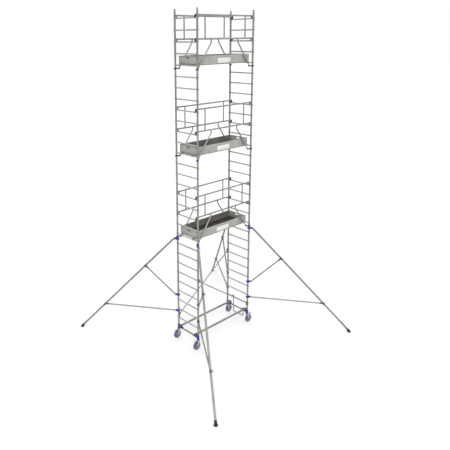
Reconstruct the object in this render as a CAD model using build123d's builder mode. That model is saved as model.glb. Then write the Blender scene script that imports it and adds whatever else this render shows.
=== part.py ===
from build123d import *
from math import atan2, cos, degrees, hypot, radians, sin
import os

os.makedirs("parts", exist_ok=True)

# Overall sizes
bay_length = 1800        # between the planes of the two ladder sides
frame_width = 710        # between the uprights of one side
rung_pitch = 250
bar_over_foot = 60       # bottom bar above the uprights' lower ends
base_rungs = 6           # rungs in a base ladder frame
upper_rungs = 8          # rungs in each frame above it
upper_levels = 3
upright_radius = 22
upright_wall = 2
rung_radius = 17
rung_wall = 2
rung_proud = 8           # how far a rung stands out of the upright
bar_radius = 20
spigot_length = 150
spigot_wall = 3
frame_seam = 1

# Fits
seat = 0.05              # between pieces that are fixed together
slip = 0.3               # between pieces that can be taken off or turned
bearing = 0.05           # radial play of a pin in its hole
spigot_play = 0.2        # radial play of a stacked frame on its spigot
top_spigot_play = 0.7    # the open spigots at the top, made easier to start

# Castors
wheel_radius = 100
wheel_width = 50
tread = 8
castor_trail = 50
axle_radius = 8
fork_plate = 4
fork_head_over = 7       # over the top of the wheel
fork_head = 18
head_radius = 34
flange_height = 12
stem_reach = 90
pedal_reach = 100
pedal_width = 42
pedal_plate = 5
pedal_pin = 4

# Base
sleeve_wall = 6
sleeve_height = 115
arm_end = 140            # from the upright's axis to the end of the bracket arm
base_tube_radius = 25
base_tube_inset = 80     # from the upright's axis
base_tube_over = 50      # past the plane of the ladder side
saddle_top = 6
saddle_half = 28
strap = 6
strap_width = 34
cap = 10

# Braces
brace_radius = 12.5
claw_wall = 8
jaw_height = 18
jaw_spread = 35
claw_reach = 50
back_brace_lift = 60

# Stirrup
stirrup_radius = 12.5
stirrup_step = 105
stirrup_wall = 2
stirrup_inset = (190, 170)   # left and right leg, from the uprights' axes
stirrup_hook = 30        # how far the hooks reach down behind
stirrup_bends = (18, 18, 60, 30, 18, 18)

# Platforms
deck_rungs = (9, 17, 25) # rung that carries each platform, counted from the lowest
deck_height = 50         # deck surface above the middle of its rung
deck_plate = 10
platform_gaps = (40, 50, 72)   # left end, right end and long sides, from the uprights' axes
end_board_inset = 20     # of the right end board, from the ends of the long boards
board = 12
board_top = 205
board_low = 20
end_board_low = 32
beam_width = 30
beam_low = 2
hook_width = 40
hook_inset = 83          # from the outside of the toe board
hook_plate = 9
seam_at = 70             # between fixed deck and hatch
end_strip = 40           # fixed deck beyond the hatch
end_beam = 52
hand_slot = 110
hand_slot_height = 30
hand_slot_level = 160
barrel_radius = 5
hinge_pin = 2.5
barrel_length = 60

# Guardrails
rail_radius = 17.5
rail_wall = 2
rail_above = 60          # rail above the rung it hooks on
rail_offset = 50         # from the upright's axis, inward
leg_radius = 15
leg_at = 430
leg_bend = 75            # below the mid rail
clip_drop = 75           # clip below the deck's rung
post_near = 620
post_far = 670
leg_end = 62
hook_half = 22
clip_height = 36

# Stabilisers
foot_out_x = 1540
foot_out_y = 2090
main_radius = 24
strut_radius = 17.5
stabiliser_wall = 2.5
clamp_wall = 11
clamp_height = 56
clamp_under_clip = 14
clamp_shift = (5, 65)    # upper and lower strut clamps, above the middle between two rungs
pivot_over = (70, 55, 55)    # from the face of the upright
strut_at = (0.295, 0.735)
cheek = 5
bolt_radius = 6
foot_radius = 45
coupler_wall = 7

half_bay = bay_length / 2
half_width = frame_width / 2
upright_bore = upright_radius - upright_wall
fork_head_low = 2 * wheel_radius + fork_head_over
fork_head_high = fork_head_low + fork_head
upright_foot = fork_head_high + flange_height + 3
bottom_bar_height = upright_foot + bar_over_foot
first_rung = bottom_bar_height + rung_pitch
sleeve_radius = upright_radius + sleeve_wall
claw_radius = upright_radius + claw_wall
clamp_radius = upright_radius + clamp_wall
coupler_radius = main_radius + coupler_wall
stirrup_left = half_width - stirrup_inset[0]
stirrup_right = stirrup_inset[1] - half_width
platform_start = half_bay - platform_gaps[0]
platform_end = half_bay - platform_gaps[1]
platform_half = half_width - platform_gaps[2]
hook_offset = platform_half - hook_inset
pivot_reach = [upright_radius + over for over in pivot_over]
last_base_rung = first_rung + (base_rungs - 1) * rung_pitch
base_top = last_base_rung + rung_pitch / 2
level_height = upper_rungs * rung_pitch
corners = [(sx * half_bay, sy * half_width) for sx in (-1, 1) for sy in (-1, 1)]
sides = {"left": -half_bay, "right": half_bay}
low = (Align.CENTER, Align.CENTER, Align.MIN)


def rod(start, end, radius, mode=Mode.ADD):
    run = Vector(*end) - Vector(*start)
    with Locations(Plane(origin=start, z_dir=run).location):
        Cylinder(radius, run.length, align=low, mode=mode)


def ball(spot, radius, mode=Mode.ADD):
    with Locations(spot):
        Sphere(radius, mode=mode)


def block(x0, x1, y0, y1, z0, z1, mode=Mode.ADD):
    with Locations(((x0 + x1) / 2, (y0 + y1) / 2, (z0 + z1) / 2)):
        Box(abs(x1 - x0), abs(y1 - y0), abs(z1 - z0), mode=mode)


def save(piece, name):
    piece.part.label = name
    export_step(piece.part, f"parts/{name}.step")


def rung_height(number):
    return first_rung + number * rung_pitch


clamp_heights = (
    rung_height(deck_rungs[0]) - clip_drop - clip_height / 2 - clamp_under_clip - clamp_height / 2,
    rung_height(2.5) + clamp_shift[0],
    rung_height(0.5) + clamp_shift[1],
)


# Ladder frames: uprights drilled for the rungs, which pass right through
def ladder(x, foot, top, rungs, bar, play):
    reach = half_width + upright_radius + rung_proud
    spigot = upright_bore - seat
    if bar:
        rod((x, -half_width, bar), (x, half_width, bar), bar_radius)
        for y in (-half_width, half_width):
            rod((x, y, foot), (x, y, top), upright_radius + seat, Mode.SUBTRACT)
    for y in (-half_width, half_width):
        rod((x, y, foot), (x, y, top), upright_radius)
        rod((x, y, foot), (x, y, top), upright_bore, Mode.SUBTRACT)
    for z in rungs:
        rod((x, -reach - 1, z), (x, reach + 1, z), rung_radius + seat, Mode.SUBTRACT)
        rod((x, -reach, z), (x, reach, z), rung_radius)
        rod((x, -reach, z), (x, reach, z), rung_radius - rung_wall, Mode.SUBTRACT)
    for y in (-half_width, half_width):
        low_end = (x, y, top - spigot_length / 2)
        high_end = (x, y, top + spigot_length / 2)
        rod(low_end, (x, y, top), spigot)
        rod((x, y, top), high_end, upright_bore - play)
        rod(low_end, high_end, spigot - spigot_wall, Mode.SUBTRACT)


for side, x in sides.items():
    with BuildPart() as base_frame:
        heights = [rung_height(n) for n in range(base_rungs)]
        ladder(x, upright_foot, base_top, heights, bottom_bar_height, spigot_play)
    save(base_frame, f"ladder_{side}_1")
    for level in range(upper_levels):
        foot = base_top + level * level_height + frame_seam
        start = base_rungs + level * upper_rungs
        with BuildPart() as upper_frame:
            heights = [rung_height(start + n) for n in range(upper_rungs)]
            play = top_spigot_play if level == upper_levels - 1 else spigot_play
            ladder(x, foot, foot - frame_seam + level_height, heights, None, play)
        save(upper_frame, f"ladder_{side}_{level + 2}")

# Base tubes, one along each long side
tube_y = half_width - base_tube_inset
tube_z = bottom_bar_height + bar_radius + saddle_top + base_tube_radius
with BuildPart() as base_tubes:
    for y in (-tube_y, tube_y):
        ends = half_bay + base_tube_over
        rod((-ends, y, tube_z), (ends, y, tube_z), base_tube_radius)
        rod((-ends, y, tube_z), (ends, y, tube_z), base_tube_radius - upright_wall - 1, Mode.SUBTRACT)
save(base_tubes, "base_tubes")

# Castor brackets: sleeve on the upright, saddle arm over the bottom bar, strap round the base tube, end cap
sleeve_low = upright_foot + 5
with BuildPart() as brackets:
    for x, y in corners:
        inward = -1 if y > 0 else 1
        arm_top = bottom_bar_height + bar_radius + saddle_top
        arm_y = y + inward * arm_end
        near_y = y + inward * (base_tube_inset - arm_end) / 6
        rod((x, y, sleeve_low), (x, y, sleeve_low + sleeve_height), sleeve_radius)
        block(x - saddle_half, x + saddle_half, near_y, arm_y, bottom_bar_height - 12, arm_top - seat)
        start = (x - strap_width / 2, inward * -tube_y, tube_z)
        end = (x + strap_width / 2, inward * -tube_y, tube_z)
        rod(start, end, base_tube_radius + strap)
        start, end = (x - 60, inward * -tube_y, tube_z), (x + 60, inward * -tube_y, tube_z)
        rod(start, end, base_tube_radius + seat, Mode.SUBTRACT)
        rod((x, y, 0), (x, y, 600), upright_radius + seat, Mode.SUBTRACT)
        rod((x, y, bottom_bar_height), (x, arm_y + inward, bottom_bar_height), bar_radius + seat,
            Mode.SUBTRACT)
        block(x - bar_radius, x + bar_radius, y, arm_y + inward, 250, bottom_bar_height, Mode.SUBTRACT)
    for x, y in corners:
        inward = -1 if y > 0 else 1
        arm_y = y + inward * (arm_end + seat)
        top = bottom_bar_height + bar_radius + saddle_top
        block(x - saddle_half, x + saddle_half, arm_y, arm_y + inward * cap, bottom_bar_height - 12, top)
        rod((x, y, bottom_bar_height), (x, 0, bottom_bar_height), bar_radius + seat, Mode.SUBTRACT)
        block(x - bar_radius, x + bar_radius, arm_y, arm_y + inward * cap, 250, bottom_bar_height,
              Mode.SUBTRACT)
save(brackets, "castor_brackets")

with BuildPart() as stems:
    for x, y in corners:
        flange = fork_head_high + slip
        rod((x, y, flange), (x, y, flange + flange_height - slip), head_radius)
        rod((x, y, flange), (x, y, flange + stem_reach), upright_bore - seat)
save(stems, "castor_stems")


# Castors; way is the side the wheel trails to
def castor(number, x, y):
    way = 1 if x > 0 else -1
    wheel_x = x + way * castor_trail
    inner = wheel_width / 2 + 4
    outer = inner + fork_plate
    pin_x = x + way * (head_radius + 9)
    pin_z = fork_head_high - 7
    with BuildPart() as fork:
        rod((x, y, fork_head_low), (x, y, fork_head_high), head_radius)
        block(x, x + way * 26, y - outer, y + outer, fork_head_low, fork_head_low + 8)
        for turn in (-1, 1):
            leg_y = y + turn * (inner + fork_plate / 2)
            with BuildSketch(Plane.XZ.offset(-leg_y)) as outline:
                with BuildLine():
                    Polyline(
                        (x - way * 18, fork_head_low + 8),
                        (x + way * 30, fork_head_low + 8),
                        (wheel_x + way * 20, wheel_radius),
                        (wheel_x - way * 20, wheel_radius),
                        close=True,
                    )
                make_face()
                with Locations((wheel_x, wheel_radius)):
                    Circle(20)
            extrude(outline.sketch, amount=fork_plate / 2, both=True)
        for turn in (-1, 1):
            lug = pedal_width / 2 + slip
            block(x + way * 20, pin_x + way * 7, y + turn * lug, y + turn * (lug + 4), pin_z - 7, pin_z + 7)
        rod((pin_x, y - 24, pin_z), (pin_x, y + 24, pin_z), pedal_pin)
        rod((wheel_x, y - outer - 1, wheel_radius), (wheel_x, y + outer + 1, wheel_radius), axle_radius + seat,
            Mode.SUBTRACT)
        rod((wheel_x, y - outer - 9, wheel_radius), (wheel_x, y + outer + 9, wheel_radius), axle_radius)
        for turn in (-1, 1):
            rod((wheel_x, y + turn * (outer + seat), wheel_radius), (wheel_x, y + turn * (outer + 7), wheel_radius), 13)
    save(fork, f"castor_{number}_fork")
    with BuildPart() as centre:
        rim = wheel_radius - tread
        rod((wheel_x, y - 22, wheel_radius), (wheel_x, y + 22, wheel_radius), rim)
        for turn in (-1, 1):
            rod((wheel_x, y + turn * 12, wheel_radius), (wheel_x, y + turn * 30, wheel_radius),
                rim - 10, Mode.SUBTRACT)
        rod((wheel_x, y - inner + 2, wheel_radius), (wheel_x, y + inner - 2, wheel_radius), 24)
        rod((wheel_x, y - 40, wheel_radius), (wheel_x, y + 40, wheel_radius), axle_radius + bearing,
            Mode.SUBTRACT)
    save(centre, f"castor_{number}_wheel")
    with BuildPart() as tyre:
        half = wheel_width / 2
        rod((wheel_x, y - half, wheel_radius), (wheel_x, y + half, wheel_radius), wheel_radius)
        fillet(tyre.edges().filter_by(GeomType.CIRCLE), 7)
        rod((wheel_x, y - 40, wheel_radius), (wheel_x, y + 40, wheel_radius),
            wheel_radius - tread + seat, Mode.SUBTRACT)
    save(tyre, f"castor_{number}_tyre")
    with BuildPart() as pedal:
        rod((pin_x, y - pedal_width / 2, pin_z), (pin_x, y + pedal_width / 2, pin_z), pedal_pin + 3)
        far = pin_x + way * pedal_reach
        block(pin_x, far, y - pedal_width / 2, y + pedal_width / 2, pin_z + 1, pin_z + 1 + pedal_plate)
        block(far - way * 30, far, y - 30, y + 30, pin_z + 1, pin_z + 1 + pedal_plate)
        rod((pin_x, y - 40, pin_z), (pin_x, y + 40, pin_z), pedal_pin + bearing, Mode.SUBTRACT)
    save(pedal, f"castor_{number}_pedal")


for number, (x, y) in enumerate(corners, 1):
    castor(number, x, y)

# Diagonal braces: front one falls to the right, back one rises to the right
low_z = rung_height(0)
high_z = rung_height(base_rungs - 1)
brace_runs = [
    ((-half_bay, -half_width, high_z), (half_bay, -half_width, low_z)),
    ((-half_bay, half_width, low_z + back_brace_lift),
     (half_bay, half_width, high_z + 0.7 * back_brace_lift)),
]
with BuildPart() as braces:
    for start, end in brace_runs:
        along = (Vector(*end) - Vector(*start)).normalized()
        near = Vector(*start) + along * claw_reach
        far = Vector(*end) - along * claw_reach
        rod(tuple(near), tuple(far), brace_radius)
        rod(tuple(near), tuple(far), brace_radius - 2, Mode.SUBTRACT)
save(braces, "brace_tubes")

with BuildPart() as claws:
    for start, end in brace_runs:
        for here, there in ((start, end), (end, start)):
            along = (Vector(*there) - Vector(*here)).normalized()
            x, y, z = here
            way = 1 if there[0] > x else -1
            for lift in (-jaw_spread, jaw_spread):
                rod((x, y, z + lift - jaw_height / 2), (x, y, z + lift + jaw_height / 2), claw_radius)
                block(x - way * 8, x - way * 50, y - 40, y + 40, z + lift - 12, z + lift + 12,
                      Mode.SUBTRACT)
            tall = jaw_spread + jaw_height / 2
            block(x + way * 20, x + way * 44, y - 13, y + 13, z - tall, z + tall)
            socket = Vector(*here) + along * 36
            rod(tuple(socket), tuple(Vector(*here) + along * 92), brace_radius + 4)
            rod(tuple(Vector(*here) + along * (claw_reach - seat)), tuple(Vector(*here) + along * 120),
                brace_radius + seat, Mode.SUBTRACT)
            rod((x, y, z - 60), (x, y, z + 60), upright_radius + seat, Mode.SUBTRACT)
            rod((x, y - 60, rung_height(round((z - first_rung) / rung_pitch))),
                (x, y + 60,
                 rung_height(round((z - first_rung) / rung_pitch))), rung_radius + seat, Mode.SUBTRACT)
save(claws, "brace_claws")

# Access stirrup: one leg hangs from the lowest rung, the other from the bottom bar
with BuildPart() as stirrup:
    plane_x = half_bay + bar_radius + stirrup_radius + slip + 2
    rung_top = rung_height(0) + rung_radius + stirrup_radius + slip
    bar_top = bottom_bar_height + bar_radius + stirrup_radius + slip
    rung_back = half_bay - rung_radius - stirrup_radius - 3
    bar_back = half_bay - bar_radius - stirrup_radius - 3
    route = [
        (rung_back, stirrup_left, rung_top - stirrup_hook),
        (rung_back, stirrup_left, rung_top),
        (plane_x, stirrup_left, rung_top),
        (plane_x, stirrup_left, stirrup_step),
        (plane_x, stirrup_right, stirrup_step),
        (plane_x, stirrup_right, bar_top),
        (bar_back, stirrup_right, bar_top),
        (bar_back, stirrup_right, bar_top - stirrup_hook),
    ]
    with BuildLine() as run:
        FilletPolyline(*route, radius=stirrup_bends)
    with BuildSketch(Plane(origin=route[0])):
        Circle(stirrup_radius)
        Circle(stirrup_radius - stirrup_wall, mode=Mode.SUBTRACT)
    sweep(path=run.line)
    seats = ((stirrup_left, rung_height(0), rung_radius), (stirrup_right, bottom_bar_height, bar_radius))
    for y, z, hollow in seats:
        rod((half_bay, y - 60, z), (half_bay, y + 60, z), hollow + seat, Mode.SUBTRACT)
save(stirrup, "stirrup")


# Platforms
def platform(number, base):
    inner_half = platform_half - board
    beam = inner_half - seat
    start = -(platform_start - board) + seat
    end_face = platform_end - end_board_inset
    end = end_face - board - seat
    under = base + beam_low
    top = base + deck_height - deck_plate
    axis_y = inner_half - barrel_radius - 3
    axis_z = base + deck_height + 3
    lid_start = seam_at + 2
    lid_end = end - end_strip
    barrels = [lid_start + 90, (lid_start + lid_end) / 2, lid_end - 90]
    with BuildPart() as frame:
        for side in (-1, 1):
            block(start, end, side * (beam - beam_width), side * beam, under, top)
        crossing = ((start + beam_width / 2, beam_width), (seam_at, beam_width), (end - end_beam / 2, end_beam))
        for x, wide in crossing:
            block(x - wide / 2, x + wide / 2, -beam, beam, under, top)
        for x in barrels:
            for turn in (-1, 1):
                edge = x + turn * (barrel_length / 2 + slip)
                block(edge, edge + turn * 12, axis_y - 5, beam, top - 2, axis_z + 4)
            rod((x - barrel_length / 2 - 10, axis_y, axis_z), (x + barrel_length / 2 + 10, axis_y, axis_z), hinge_pin)
        for way, inside in ((-1, start), (1, end)):
            tip = way * (half_bay + rung_radius + hook_plate)
            for y in (-hook_offset, hook_offset):
                block(inside - way * 4, tip, y - hook_width / 2, y + hook_width / 2, base + 4, base + 30)
                block(way * half_bay, tip, y - hook_width / 2, y + hook_width / 2, base - 14, base + 30)
                block(way * (half_bay - rung_radius - slip), way * (half_bay + rung_radius + slip),
                      y - hook_width, y + hook_width, base - 40, base, Mode.SUBTRACT)
                rod((way * half_bay, y - hook_width, base), (way * half_bay, y + hook_width, base),
                    rung_radius + slip, Mode.SUBTRACT)
    save(frame, f"platform_{number}_frame")
    with BuildPart() as deck:
        for near, far in ((start + 1, seam_at - 2), (lid_end + 2, end - 1)):
            block(near, far, -beam + 1, beam - 1, top, top + deck_plate)
    save(deck, f"platform_{number}_deck")
    with BuildPart() as lid:
        block(lid_start, lid_end, -beam + 4, axis_y - 8, top + slip, top + deck_plate)
        for x in barrels:
            half = barrel_length / 2
            block(x - half, x + half, axis_y - 40, axis_y, top + deck_plate, axis_z + 1)
            rod((x - half, axis_y, axis_z), (x + half, axis_y, axis_z), barrel_radius)
        rod((lid_start, axis_y, axis_z), (lid_end, axis_y, axis_z), hinge_pin + bearing, Mode.SUBTRACT)
    save(lid, f"platform_{number}_hatch")
    with BuildPart() as boards:
        for side in (-1, 1):
            block(-platform_start, platform_end, side * inner_half, side * platform_half,
                  base + board_low, base + board_top)
        for x in (-platform_start, end_face - board):
            block(x, x + board, -beam, beam, base + end_board_low, base + board_top)
            with Locations(Location((x + board / 2, 0, base + hand_slot_level), (0, 90, 0))):
                Box(hand_slot_height, hand_slot - hand_slot_height, 3 * board, mode=Mode.SUBTRACT)
            for y in (-1, 1):
                spot = y * (hand_slot - hand_slot_height) / 2
                rod((x - board, spot, base + hand_slot_level), (x + 2 * board, spot, base + hand_slot_level),
                    hand_slot_height / 2, Mode.SUBTRACT)
    save(boards, f"platform_{number}_toeboards")


deck_levels = [rung_height(n) for n in deck_rungs]
for number, base in enumerate(deck_levels, 1):
    platform(number, base)

# Guardrails: the back frame is the front one turned half round
rail_y = half_width - rail_offset
rail_end = half_bay - hook_half - 4


def leg_points(turn, number, base):
    mid = base + 2 * rung_pitch + rail_above
    x = turn * leg_at
    return (x, mid), (x, mid - leg_bend), (turn * (half_bay - leg_end), base - clip_drop)


for number, base in enumerate(deck_levels, 1):
    mid = base + 2 * rung_pitch + rail_above
    high = base + 4 * rung_pitch + rail_above
    with BuildPart() as rails:
        for y in (-rail_y, rail_y):
            face = -1 if y < 0 else 1
            posts = (face * post_near, -face * post_far)
            for x in posts:
                rod((x, y, mid), (x, y, high), leg_radius)
            for turn in (-1, 1):
                top, bend, foot = leg_points(turn, number, base)
                rod((top[0], y, top[1]), (bend[0], y, bend[1]), leg_radius)
                ball((bend[0], y, bend[1]), leg_radius)
                rod((bend[0], y, bend[1]), (foot[0], y, foot[1]), leg_radius)
            for x in posts:
                rod((x, y, mid), (x, y, high), leg_radius - rail_wall, Mode.SUBTRACT)
            for turn in (-1, 1):
                top, bend, foot = leg_points(turn, number, base)
                rod((top[0], y, top[1]), (bend[0], y, bend[1]), leg_radius - rail_wall, Mode.SUBTRACT)
                ball((bend[0], y, bend[1]), leg_radius - rail_wall, Mode.SUBTRACT)
                rod((bend[0], y, bend[1]), (foot[0], y, foot[1]), leg_radius - rail_wall, Mode.SUBTRACT)
            for z in (mid, high):
                rod((-rail_end, y, z), (rail_end, y, z), rail_radius + seat, Mode.SUBTRACT)
            for z in (mid, high):
                rod((-rail_end, y, z), (rail_end, y, z), rail_radius)
                rod((-rail_end, y, z), (rail_end, y, z), rail_radius - rail_wall, Mode.SUBTRACT)
    save(rails, f"guardrails_{number}")

hook_spots = [
    (sx, sy * rail_y, base + step * rung_pitch)
    for base in deck_levels for step in (2, 4) for sx in (-1, 1) for sy in (-1, 1)
]
with BuildPart() as hooks:
    tall = rail_above + rail_radius + 10
    with Locations(*[(sx * half_bay, y, z - 10) for sx, y, z in hook_spots]):
        Box(2 * hook_half, 2 * leg_radius + 2, tall, align=low)
    with Locations(*[(sx * half_bay, y, z - 10) for sx, y, z in hook_spots]):
        Box(2 * (rung_radius + slip), 80, 10, align=low, mode=Mode.SUBTRACT)
    with Locations(*[Location((sx * half_bay, y, z), (90, 0, 0)) for sx, y, z in hook_spots]):
        Cylinder(rung_radius + slip, 80, mode=Mode.SUBTRACT)
    plug = 34
    with Locations(*[Location((sx * (rail_end - plug / 2 + 8), y, z + rail_above), (0, 90, 0)) for sx, y, z in hook_spots]):
        Cylinder(rail_radius - rail_wall - seat, plug)
save(hooks, "rail_hooks")

clip_spots = [(sx, sy, base) for base in deck_levels for sx in (-1, 1) for sy in (-1, 1)]
with BuildPart() as clips:
    with Locations(*[(sx * half_bay, sy * half_width, base - clip_drop) for sx, sy, base in clip_spots]):
        Cylinder(claw_radius, clip_height)
    with Locations(*[(sx * (half_bay + 34), sy * half_width, base - clip_drop) for sx, sy, base in clip_spots]):
        Box(32, 26, clip_height - 10)
    with Locations(*[(sx * (half_bay - 46), sy * (half_width - 37), base - clip_drop) for sx, sy, base in clip_spots]):
        Box(58, 56, clip_height - 2)
    with Locations(*[(sx * half_bay, sy * half_width, base - clip_drop) for sx, sy, base in clip_spots]):
        Cylinder(upright_radius + slip, 3 * clip_height, mode=Mode.SUBTRACT)
    for sx, sy, base in clip_spots:
        top, bend, foot = leg_points(sx, 0, base)
        rod((bend[0], sy * rail_y, bend[1]), (foot[0], sy * rail_y, foot[1]), leg_radius + seat,
            Mode.SUBTRACT)
save(clips, "rail_clips")


# Stabilisers: every tube lies in the upright plane that holds the upright and the foot
reach = hypot(foot_out_x, foot_out_y)
foot_level = 40


def stabiliser(number, x, y):
    swing = atan2(foot_out_y * (1 if y > 0 else -1), foot_out_x * (1 if x > 0 else -1))
    turned = degrees(swing)

    def at(d, z, across=0):
        return (x + d * cos(swing) - across * sin(swing), y + d * sin(swing) + across * cos(swing), z)

    def slab(d0, d1, a0, a1, z0, z1):
        with Locations(Location(at((d0 + d1) / 2, (z0 + z1) / 2, (a0 + a1) / 2), (0, 0, turned))):
            Box(abs(d1 - d0), abs(a1 - a0), z1 - z0)

    top_pivot = Vector(pivot_reach[0], clamp_heights[0])
    toe = Vector(reach, foot_level)
    run = (toe - top_pivot).normalized()
    head = top_pivot - run * 22
    joints = [top_pivot + (toe - top_pivot) * share for share in strut_at]
    pivots = [Vector(pivot_reach[n], clamp_heights[n]) for n in (1, 2)]
    with BuildPart() as tubes:
        for joint, pivot in zip(joints, pivots):
            near = pivot - (joint - pivot).normalized() * 20
            rod(at(near.X, near.Y), at(joint.X, joint.Y), strut_radius)
            rod(at(near.X, near.Y), at(joint.X, joint.Y), strut_radius - stabiliser_wall, Mode.SUBTRACT)
        rod(at(head.X, head.Y), at(toe.X, toe.Y), main_radius + slip, Mode.SUBTRACT)
        rod(at(head.X, head.Y), at(toe.X, toe.Y), main_radius)
        rod(at(head.X, head.Y), at(toe.X, toe.Y), main_radius - stabiliser_wall, Mode.SUBTRACT)
        for pivot in [top_pivot] + pivots:
            rod(at(pivot.X, pivot.Y, -60), at(pivot.X, pivot.Y, 60), bolt_radius + seat, Mode.SUBTRACT)
    save(tubes, f"stabiliser_{number}_tubes")
    with BuildPart() as clamps:
        for n, height in enumerate(clamp_heights):
            girth = (main_radius if n == 0 else strut_radius) + 1
            with Locations((x, y, height)):
                Cylinder(clamp_radius, clamp_height)
            for turn in (-1, 1):
                slab(20, pivot_reach[n] + 16, turn * girth, turn * (girth + cheek), height - 20, height + 20)
            side = girth + cheek + 6
            rod(at(pivot_reach[n], height, -side), at(pivot_reach[n], height, side), bolt_radius)
            with Locations((x, y, height)):
                Cylinder(upright_radius + slip, 2 * clamp_height, mode=Mode.SUBTRACT)
        for joint, pivot in zip(joints, pivots):
            slope = (joint - pivot).normalized()
            back = joint - run * 36
            ahead = joint + run * 36
            socket = joint - slope * 88
            rod(at(back.X, back.Y), at(ahead.X, ahead.Y), coupler_radius)
            rod(at(socket.X, socket.Y), at(joint.X, joint.Y), strut_radius + 5)
            rod(at(top_pivot.X, top_pivot.Y), at(toe.X, toe.Y), main_radius + seat, Mode.SUBTRACT)
            rod(at(pivot.X, pivot.Y), at(joint.X, joint.Y), strut_radius + seat, Mode.SUBTRACT)
    save(clamps, f"stabiliser_{number}_clamps")
    with BuildPart() as foot:
        with Locations(at(reach + 10, 0)):
            Cylinder(foot_radius, 24, align=low)
        with Locations(at(reach + 10, 24)):
            Cone(foot_radius - 4, 30, 26, align=low)
        base = toe + run * 4
        collar = toe - run * 60
        rod(at(collar.X, collar.Y), at(base.X, base.Y), main_radius + 7)
        rod(at(top_pivot.X, top_pivot.Y), at(toe.X, toe.Y), main_radius + seat, Mode.SUBTRACT)
        with Locations((x, y, 0)):
            Box(8000, 8000, 60, align=(Align.CENTER, Align.CENTER, Align.MAX), mode=Mode.SUBTRACT)
    save(foot, f"stabiliser_{number}_foot")


for number, (x, y) in enumerate(corners, 1):
    stabiliser(number, x, y)
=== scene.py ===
import math

import bmesh
import bpy
from mathutils import Matrix, Vector


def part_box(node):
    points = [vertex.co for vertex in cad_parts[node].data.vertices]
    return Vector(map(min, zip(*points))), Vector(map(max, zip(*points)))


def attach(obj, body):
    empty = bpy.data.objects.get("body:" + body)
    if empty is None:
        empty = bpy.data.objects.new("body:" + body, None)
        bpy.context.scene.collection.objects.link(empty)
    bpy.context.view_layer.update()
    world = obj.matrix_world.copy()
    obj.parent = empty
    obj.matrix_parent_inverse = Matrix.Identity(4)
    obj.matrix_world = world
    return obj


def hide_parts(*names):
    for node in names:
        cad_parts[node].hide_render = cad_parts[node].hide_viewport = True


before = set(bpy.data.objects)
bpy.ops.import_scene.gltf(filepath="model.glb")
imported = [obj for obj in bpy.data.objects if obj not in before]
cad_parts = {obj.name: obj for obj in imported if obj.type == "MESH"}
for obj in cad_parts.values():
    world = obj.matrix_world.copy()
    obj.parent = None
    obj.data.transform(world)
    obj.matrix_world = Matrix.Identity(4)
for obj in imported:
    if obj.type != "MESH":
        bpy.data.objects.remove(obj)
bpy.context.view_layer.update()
print("frame loaded")

# places read from the frame
corners = {}  # castor number: the upright's axis over it
for number in range(1, 5):
    low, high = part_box(f"castor_{number}_fork")
    side = "left" if low.x < 0 else "right"
    ladderLow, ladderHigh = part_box(f"ladder_{side}_1")
    corners[number] = Vector(((ladderLow.x + ladderHigh.x) / 2, (low.y + high.y) / 2, 0))
halfBay = abs(corners[1].x)
halfWidth = abs(corners[1].y)
tower = {"post": 0.022, "postBore": 0.020, "rung": 0.017, "pitch": 0.25, "firstRung": 0.55, "barHeight": 0.30,
         "bar": 0.020, "spigotPlay": 0.0002, "topPlay": 0.0007, "lap": 0.075}  # lap: half a spigot
deckRungs = [round(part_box(f"platform_{n}_deck")[1].z - 0.05, 3) for n in (1, 2, 3)]


# finishes
def nodeOf(tree, kind, place, **values):
    node = tree.nodes.new(kind)
    node.location = place
    for key, value in values.items():
        if key in node.inputs:
            node.inputs[key].default_value = value
        else:
            setattr(node, key, value)
    return node


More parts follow.
